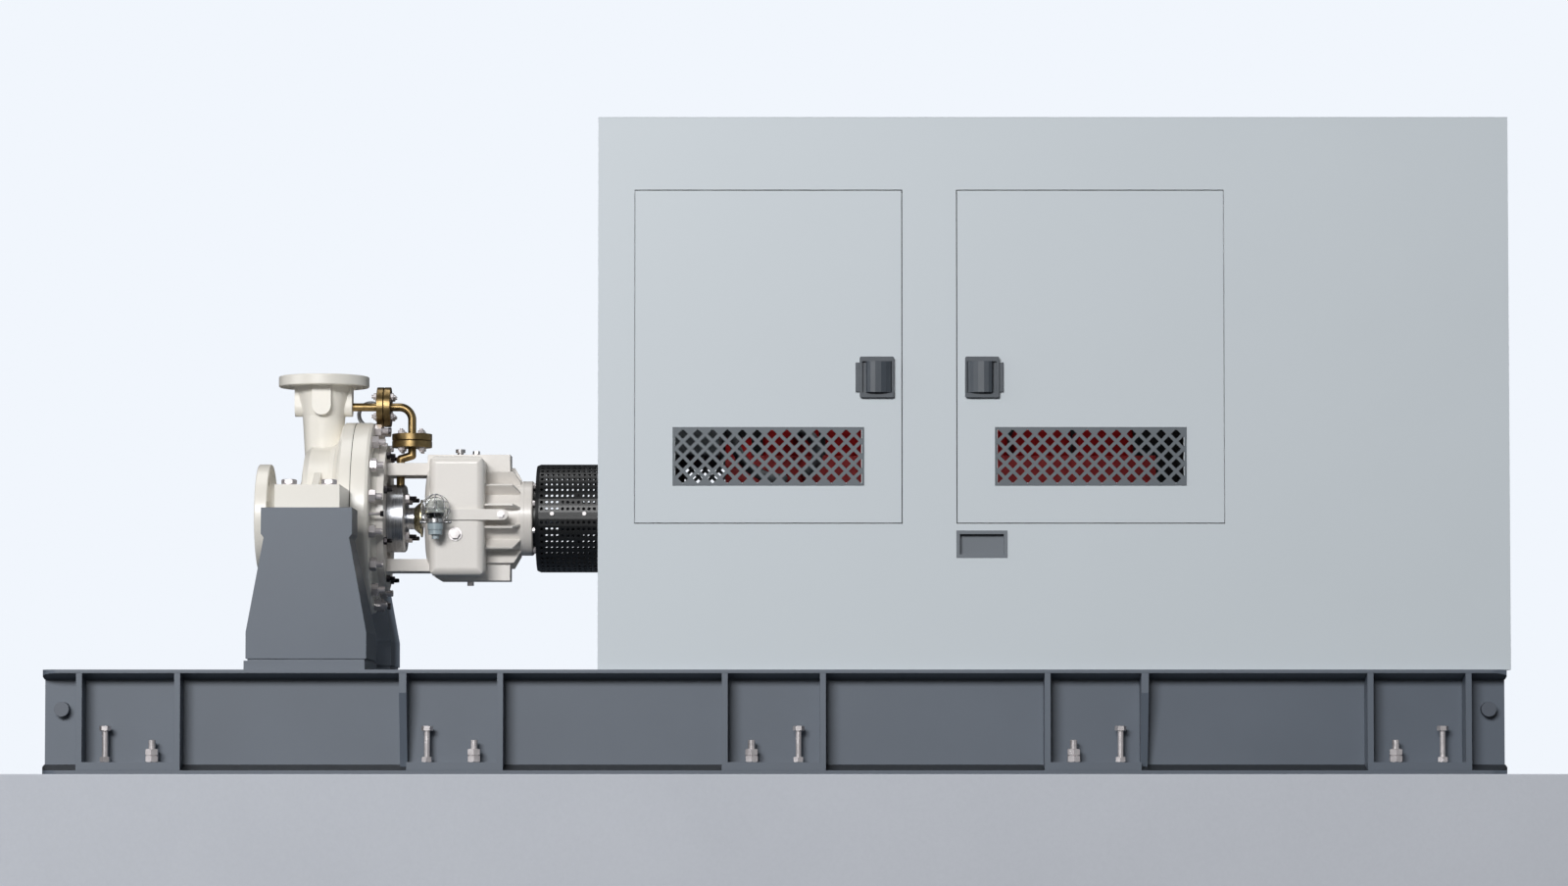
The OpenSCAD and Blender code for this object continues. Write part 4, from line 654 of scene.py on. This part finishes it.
for turn, station in (level_pair, upright_pair):
    for shape, finish in ((flanges, bronze), (gasket, graphite)):
        parts.append(set_down(shape, station, finish, turn))
    turned = Matrix.Rotation(turn[1], 3, "Y") @ Matrix.Rotation(math.pi / 4, 3, "Z")
    parts.append(grown(circle_tree, flange_bolt, Vertices=4, Radius=flange_bolt_r,
                       Turn=tuple(turned.to_euler()), Station=station, Finish=plated))
piece("flush_flange_pairs", parts, replaces=["flush_flanges"])


# Constant level oiler
# A pale blue-grey die cast reservoir under a glass bulb, half full of dark oil and held in a cage
# of bright wire, with a drain plug below.
dress(painted("oiler enamel", srgb(160, 174, 180), 0.3, 0.0012, 0.00002, 0.03, 0.001, 0.3),
      "oiler_body")
dress(steel("bright cage wire", srgb(205, 205, 206), 0.24), "oiler_cage")

clear, shader, here = new_finish("clear glass")
swirl = here.noise(0.02, 2.0)
bump = here.node("ShaderNodeBump", None, {"Height": swirl, "Distance": 0.0003, "Strength": 0.3})
set_shader(shader, here, Base_Color=(0.97, 0.99, 0.98, 1.0), Roughness=0.02, IOR=1.46,
           Transmission_Weight=1.0, Normal=bump)
dress(clear, "oiler_glass")

oil, shader, here = new_finish("dark oil")
cloud = here.noise(0.02, 2.0)
set_shader(shader, here, Base_Color=cloud.blend(srgb(12, 10, 9), srgb(34, 25, 16)),
           Roughness=cloud * 0.04 + 0.03, Coat_Weight=0.5)
bulb_x, bulb_y, bulb_z = -1.186, -0.260, 0.921
level, neck_foot, inner, neck = 0.905, 0.8838, 0.0383, 0.024
surface_r, surface_sink, steps = 0.030, 0.0006, 8
hoops = [hoop("round", neck, neck_foot - bulb_z, 48)]
low_z, high_z = -math.sqrt(inner ** 2 - neck ** 2), level - bulb_z
for i in range(steps + 1):
    z = low_z + (high_z - low_z) * i / steps
    hoops.append(hoop("round", math.sqrt(inner ** 2 - z ** 2), z, 48))
hoops.append(hoop("round", surface_r, high_z - surface_sink, 48))
reservoir = fastener("oil", hoops)
piece("oil_in_bulb", [set_down(reservoir, (bulb_x, bulb_y, bulb_z), oil)])


# Coupling guard
# Two rolled half shells of perforated sheet in black powder coat, screwed together at the level
# of the shaft.
guard_black = painted("black powder coat", srgb(14, 15, 17), 0.34, 0.0014, 0.00004, 0.08, 0.0008)
dress(guard_black, "guard_upper", "guard_lower")


# Canopy
# A welded box of pale grey sheet, lined with dark foam against noise. Two doors on each side hang
# on steel rods and close on rubber seals.
def lining(here):
    """The inner faces of the canopy's sheets, more than its depth behind the outer ones."""
    low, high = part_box("canopy_roof")
    depth, soft = 0.001, 0.0003
    x, y, z = here.xyz()
    from_sides = (high[1] - depth) - y.maths("ABSOLUTE")
    from_roof = (high[2] - depth) - z
    from_left, from_right = x - (low[0] + depth), (high[0] - depth) - x
    least = from_sides
    for other in (from_roof, from_left, from_right):
        least = least.maths("MINIMUM", other)
    return least.step(0.0, soft)


canopy_paint = painted("pale grey canopy paint", srgb(203, 211, 217), 0.46, 0.0011, 0.00002,
                       0.012, 0.0012, lining_or_painted_shade=lining, cover=srgb(38, 40, 43))
dress(canopy_paint, "canopy_wall_near", "canopy_wall_far", "canopy_end_walls", "canopy_roof",
      "near_left_leaf", "near_right_leaf", "far_left_leaf", "far_right_leaf")
dress(steel("dull hinge steel", srgb(150, 154, 158), 0.4), "hinge_rods")

rubber, shader, here = new_finish("black seal rubber")
bloom = here.noise(0.05, 4.0)
grain = here.noise(0.0008, 2.0)
bump = here.node("ShaderNodeBump", None, {"Height": grain, "Distance": 0.00005, "Strength": 0.6})
set_shader(shader, here, Base_Color=bloom.blend(srgb(20, 21, 22), srgb(34, 35, 37)),
           Roughness=bloom * 0.15 + 0.6, Normal=bump)
dress(rubber, "door_seals")


# Door grilles and service pocket
# Sheets 3 mm thick with seven rows of diamond openings, each row half a pitch along from the last,
# in mid grey powder coat, and a folded pocket of the same sheet below the doors.
def diamond_tree():
    """A Geometry Nodes tree that cuts two lattices of diamonds out of a sheet inside its border."""
    tree = bpy.data.node_groups.new("diamond sheet", "GeometryNodeTree")
    kinds = {"Sheet": "Vector", "Window": "Vector", "Diamond": "Vector", "Pitch": "Float",
             "Start": "Float", "Columns": "Int", "Rows": "Int", "Turn": "Vector",
             "Station": "Vector", "Finish": "Material"}
    for label, kind in kinds.items():
        tree.interface.new_socket(label, in_out="INPUT", socket_type="NodeSocket" + kind)
    tree.interface.new_socket("Mesh", in_out="OUTPUT", socket_type="NodeSocketGeometry")
    inlet, outlet = tree.nodes.new("NodeGroupInput"), tree.nodes.new("NodeGroupOutput")
    given = {label: Shade(tree, inlet.outputs[label]) for label in kinds}
    pitch, columns = given["Pitch"], given["Columns"]
    solids = [pitch.node("GeometryNodeMeshCube", None, {"Size": given[label]}, "Mesh")
              for label in ("Sheet", "Window", "Diamond")]
    sheet, window, diamond = solids
    turned = pitch.node("GeometryNodeTransform", None, {
        "Geometry": diamond, "Rotation": (0.0, 0.0, math.pi / 4)})
    both = tree.nodes.new("GeometryNodeJoinGeometry")
    for fewer, back in ((0.0, 0.0), (1.0, 0.5)):
        rows = given["Rows"] - fewer
        lattice = pitch.node("GeometryNodeMeshGrid", None, {
            "Size X": (columns - 1.0) * pitch, "Size Y": (rows - 1.0) * pitch,
            "Vertices X": columns, "Vertices Y": rows}, "Mesh")
        placed = pitch.node("GeometryNodeInstanceOnPoints", None, {
            "Points": lattice, "Instance": turned})
        along = pitch.node("ShaderNodeCombineXYZ", None, {
            "X": given["Start"] + (columns - 1.0) * pitch * 0.5 - pitch * back})
        moved = pitch.node("GeometryNodeTransform", None, {
            "Geometry": placed, "Translation": along})
        tree.links.new(moved.socket, both.inputs[0])
    solid = pitch.node("GeometryNodeRealizeInstances", None, {
        "Geometry": Shade(tree, both.outputs[0])})
    inside = tree.nodes.new("GeometryNodeMeshBoolean")
    inside.operation = "INTERSECT"
    cut = tree.nodes.new("GeometryNodeMeshBoolean")
    cut.operation = "DIFFERENCE"
    tree.links.new(window.socket, inside.inputs["Mesh 2"])
    tree.links.new(solid.socket, inside.inputs["Mesh 2"])
    tree.links.new(sheet.socket, cut.inputs["Mesh 1"])
    tree.links.new(inside.outputs["Mesh"], cut.inputs["Mesh 2"])
    stood = pitch.node("GeometryNodeTransform", None, {
        "Geometry": Shade(tree, cut.outputs["Mesh"]), "Rotation": given["Turn"],
        "Translation": given["Station"]})
    coated = pitch.node("GeometryNodeSetMaterial", None, {
        "Geometry": stood, "Material": given["Finish"]})
    tree.links.new(coated.socket, outlet.inputs["Mesh"])
    return tree


grille_grey = painted("grille powder coat", srgb(90, 98, 105), 0.46, 0.001, 0.00003, 0.05, 0.0006)
cut_sheet = diamond_tree()
border, diamond, pitch, first = 0.007, 0.0238, 0.050, 0.035
for side in ("near", "far"):
    for hand, start in (("left", first), ("right", first - pitch / 2)):
        door = side + "_" + hand
        low, high = (Vector(corner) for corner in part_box(door + "_grille"))
        width, depth, height = high - low
        sheet = grown(cut_sheet, bpy.data.meshes.new("nothing"), Sheet=(width, height, depth),
                      Window=(width - 2 * border, height - 2 * border, 3 * depth),
                      Diamond=(diamond, diamond, 5 * depth), Pitch=pitch, Start=start - width / 2,
                      Columns=14, Rows=4, Turn=(math.pi / 2, 0.0, 0.0),
                      Station=tuple((low + high) / 2), Finish=grille_grey)
        piece(door + "_diamond_grille", [sheet], door + "_door", [door + "_grille"])
dress(painted("pocket powder coat", srgb(106, 113, 121), 0.5, 0.001, 0.00003, 0.05, 0.0006),
      "service_pocket")


# Door latches
# Each leaf carries a housing moulded in dark grey glass filled nylon, and a paddle of the same
# that pulls out on its pivot. The mould leaves a fine spark eroded grain on both.
nylon, shader, here = new_finish("grained dark nylon")
grain = here.noise(0.0009, 3.0, 0.6)
cloud = here.noise(0.06, 3.0)
set_shader(shader, here, Base_Color=cloud.blend(srgb(60, 67, 75), srgb(76, 83, 91)),
           Roughness=grain * 0.2 + 0.38, Normal=relief(here, grain, 0.0001, 0.002))
dress(nylon, "near_left_latch", "near_right_latch", "far_left_latch", "far_right_latch",
      "near_left_paddle", "near_right_paddle", "far_left_paddle", "far_right_paddle")


# Engine and what stands beside it
# The driver is a cast engine in red enamel, with its radiator and fan sprayed black. Beside it
# are a control box of grey coated sheet and grey rubber hoses, fixed at both ends.
dress(painted("red engine enamel", srgb(162, 7, 11), 0.5, 0.004, 0.0001, 0.25, 0.003),
      "engine_block")
dress(painted("control box grey", srgb(112, 119, 124), 0.45, 0.0012, 0.00003, 0.05, 0.001),
      "control_box")
dress(painted("radiator black", srgb(44, 46, 49), 0.5, 0.0015, 0.00005, 0.08, 0.001), "radiator",
      "cooling_fan")

hose_rubber, shader, here = new_finish("grey hose rubber")
weave = here.noise(0.004, 3.0)
bump = here.node("ShaderNodeBump", None, {"Height": weave, "Distance": 0.0002, "Strength": 0.6})
set_shader(shader, here, Base_Color=weave.blend(srgb(84, 88, 92), srgb(108, 112, 116)),
           Roughness=0.55, Normal=bump)
dress(hose_rubber, "engine_hoses")


# Coupling and impeller
# The coupling halves sit on the two shaft ends inside the guard, and the impeller on the pump
# shaft inside the casing. All are machined from iron, left bare and oiled.
dress(turned_steel("oiled iron", srgb(104, 105, 108), 0.34), "coupling_pump_half",
      "coupling_driver_half", "impeller")


low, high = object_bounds()
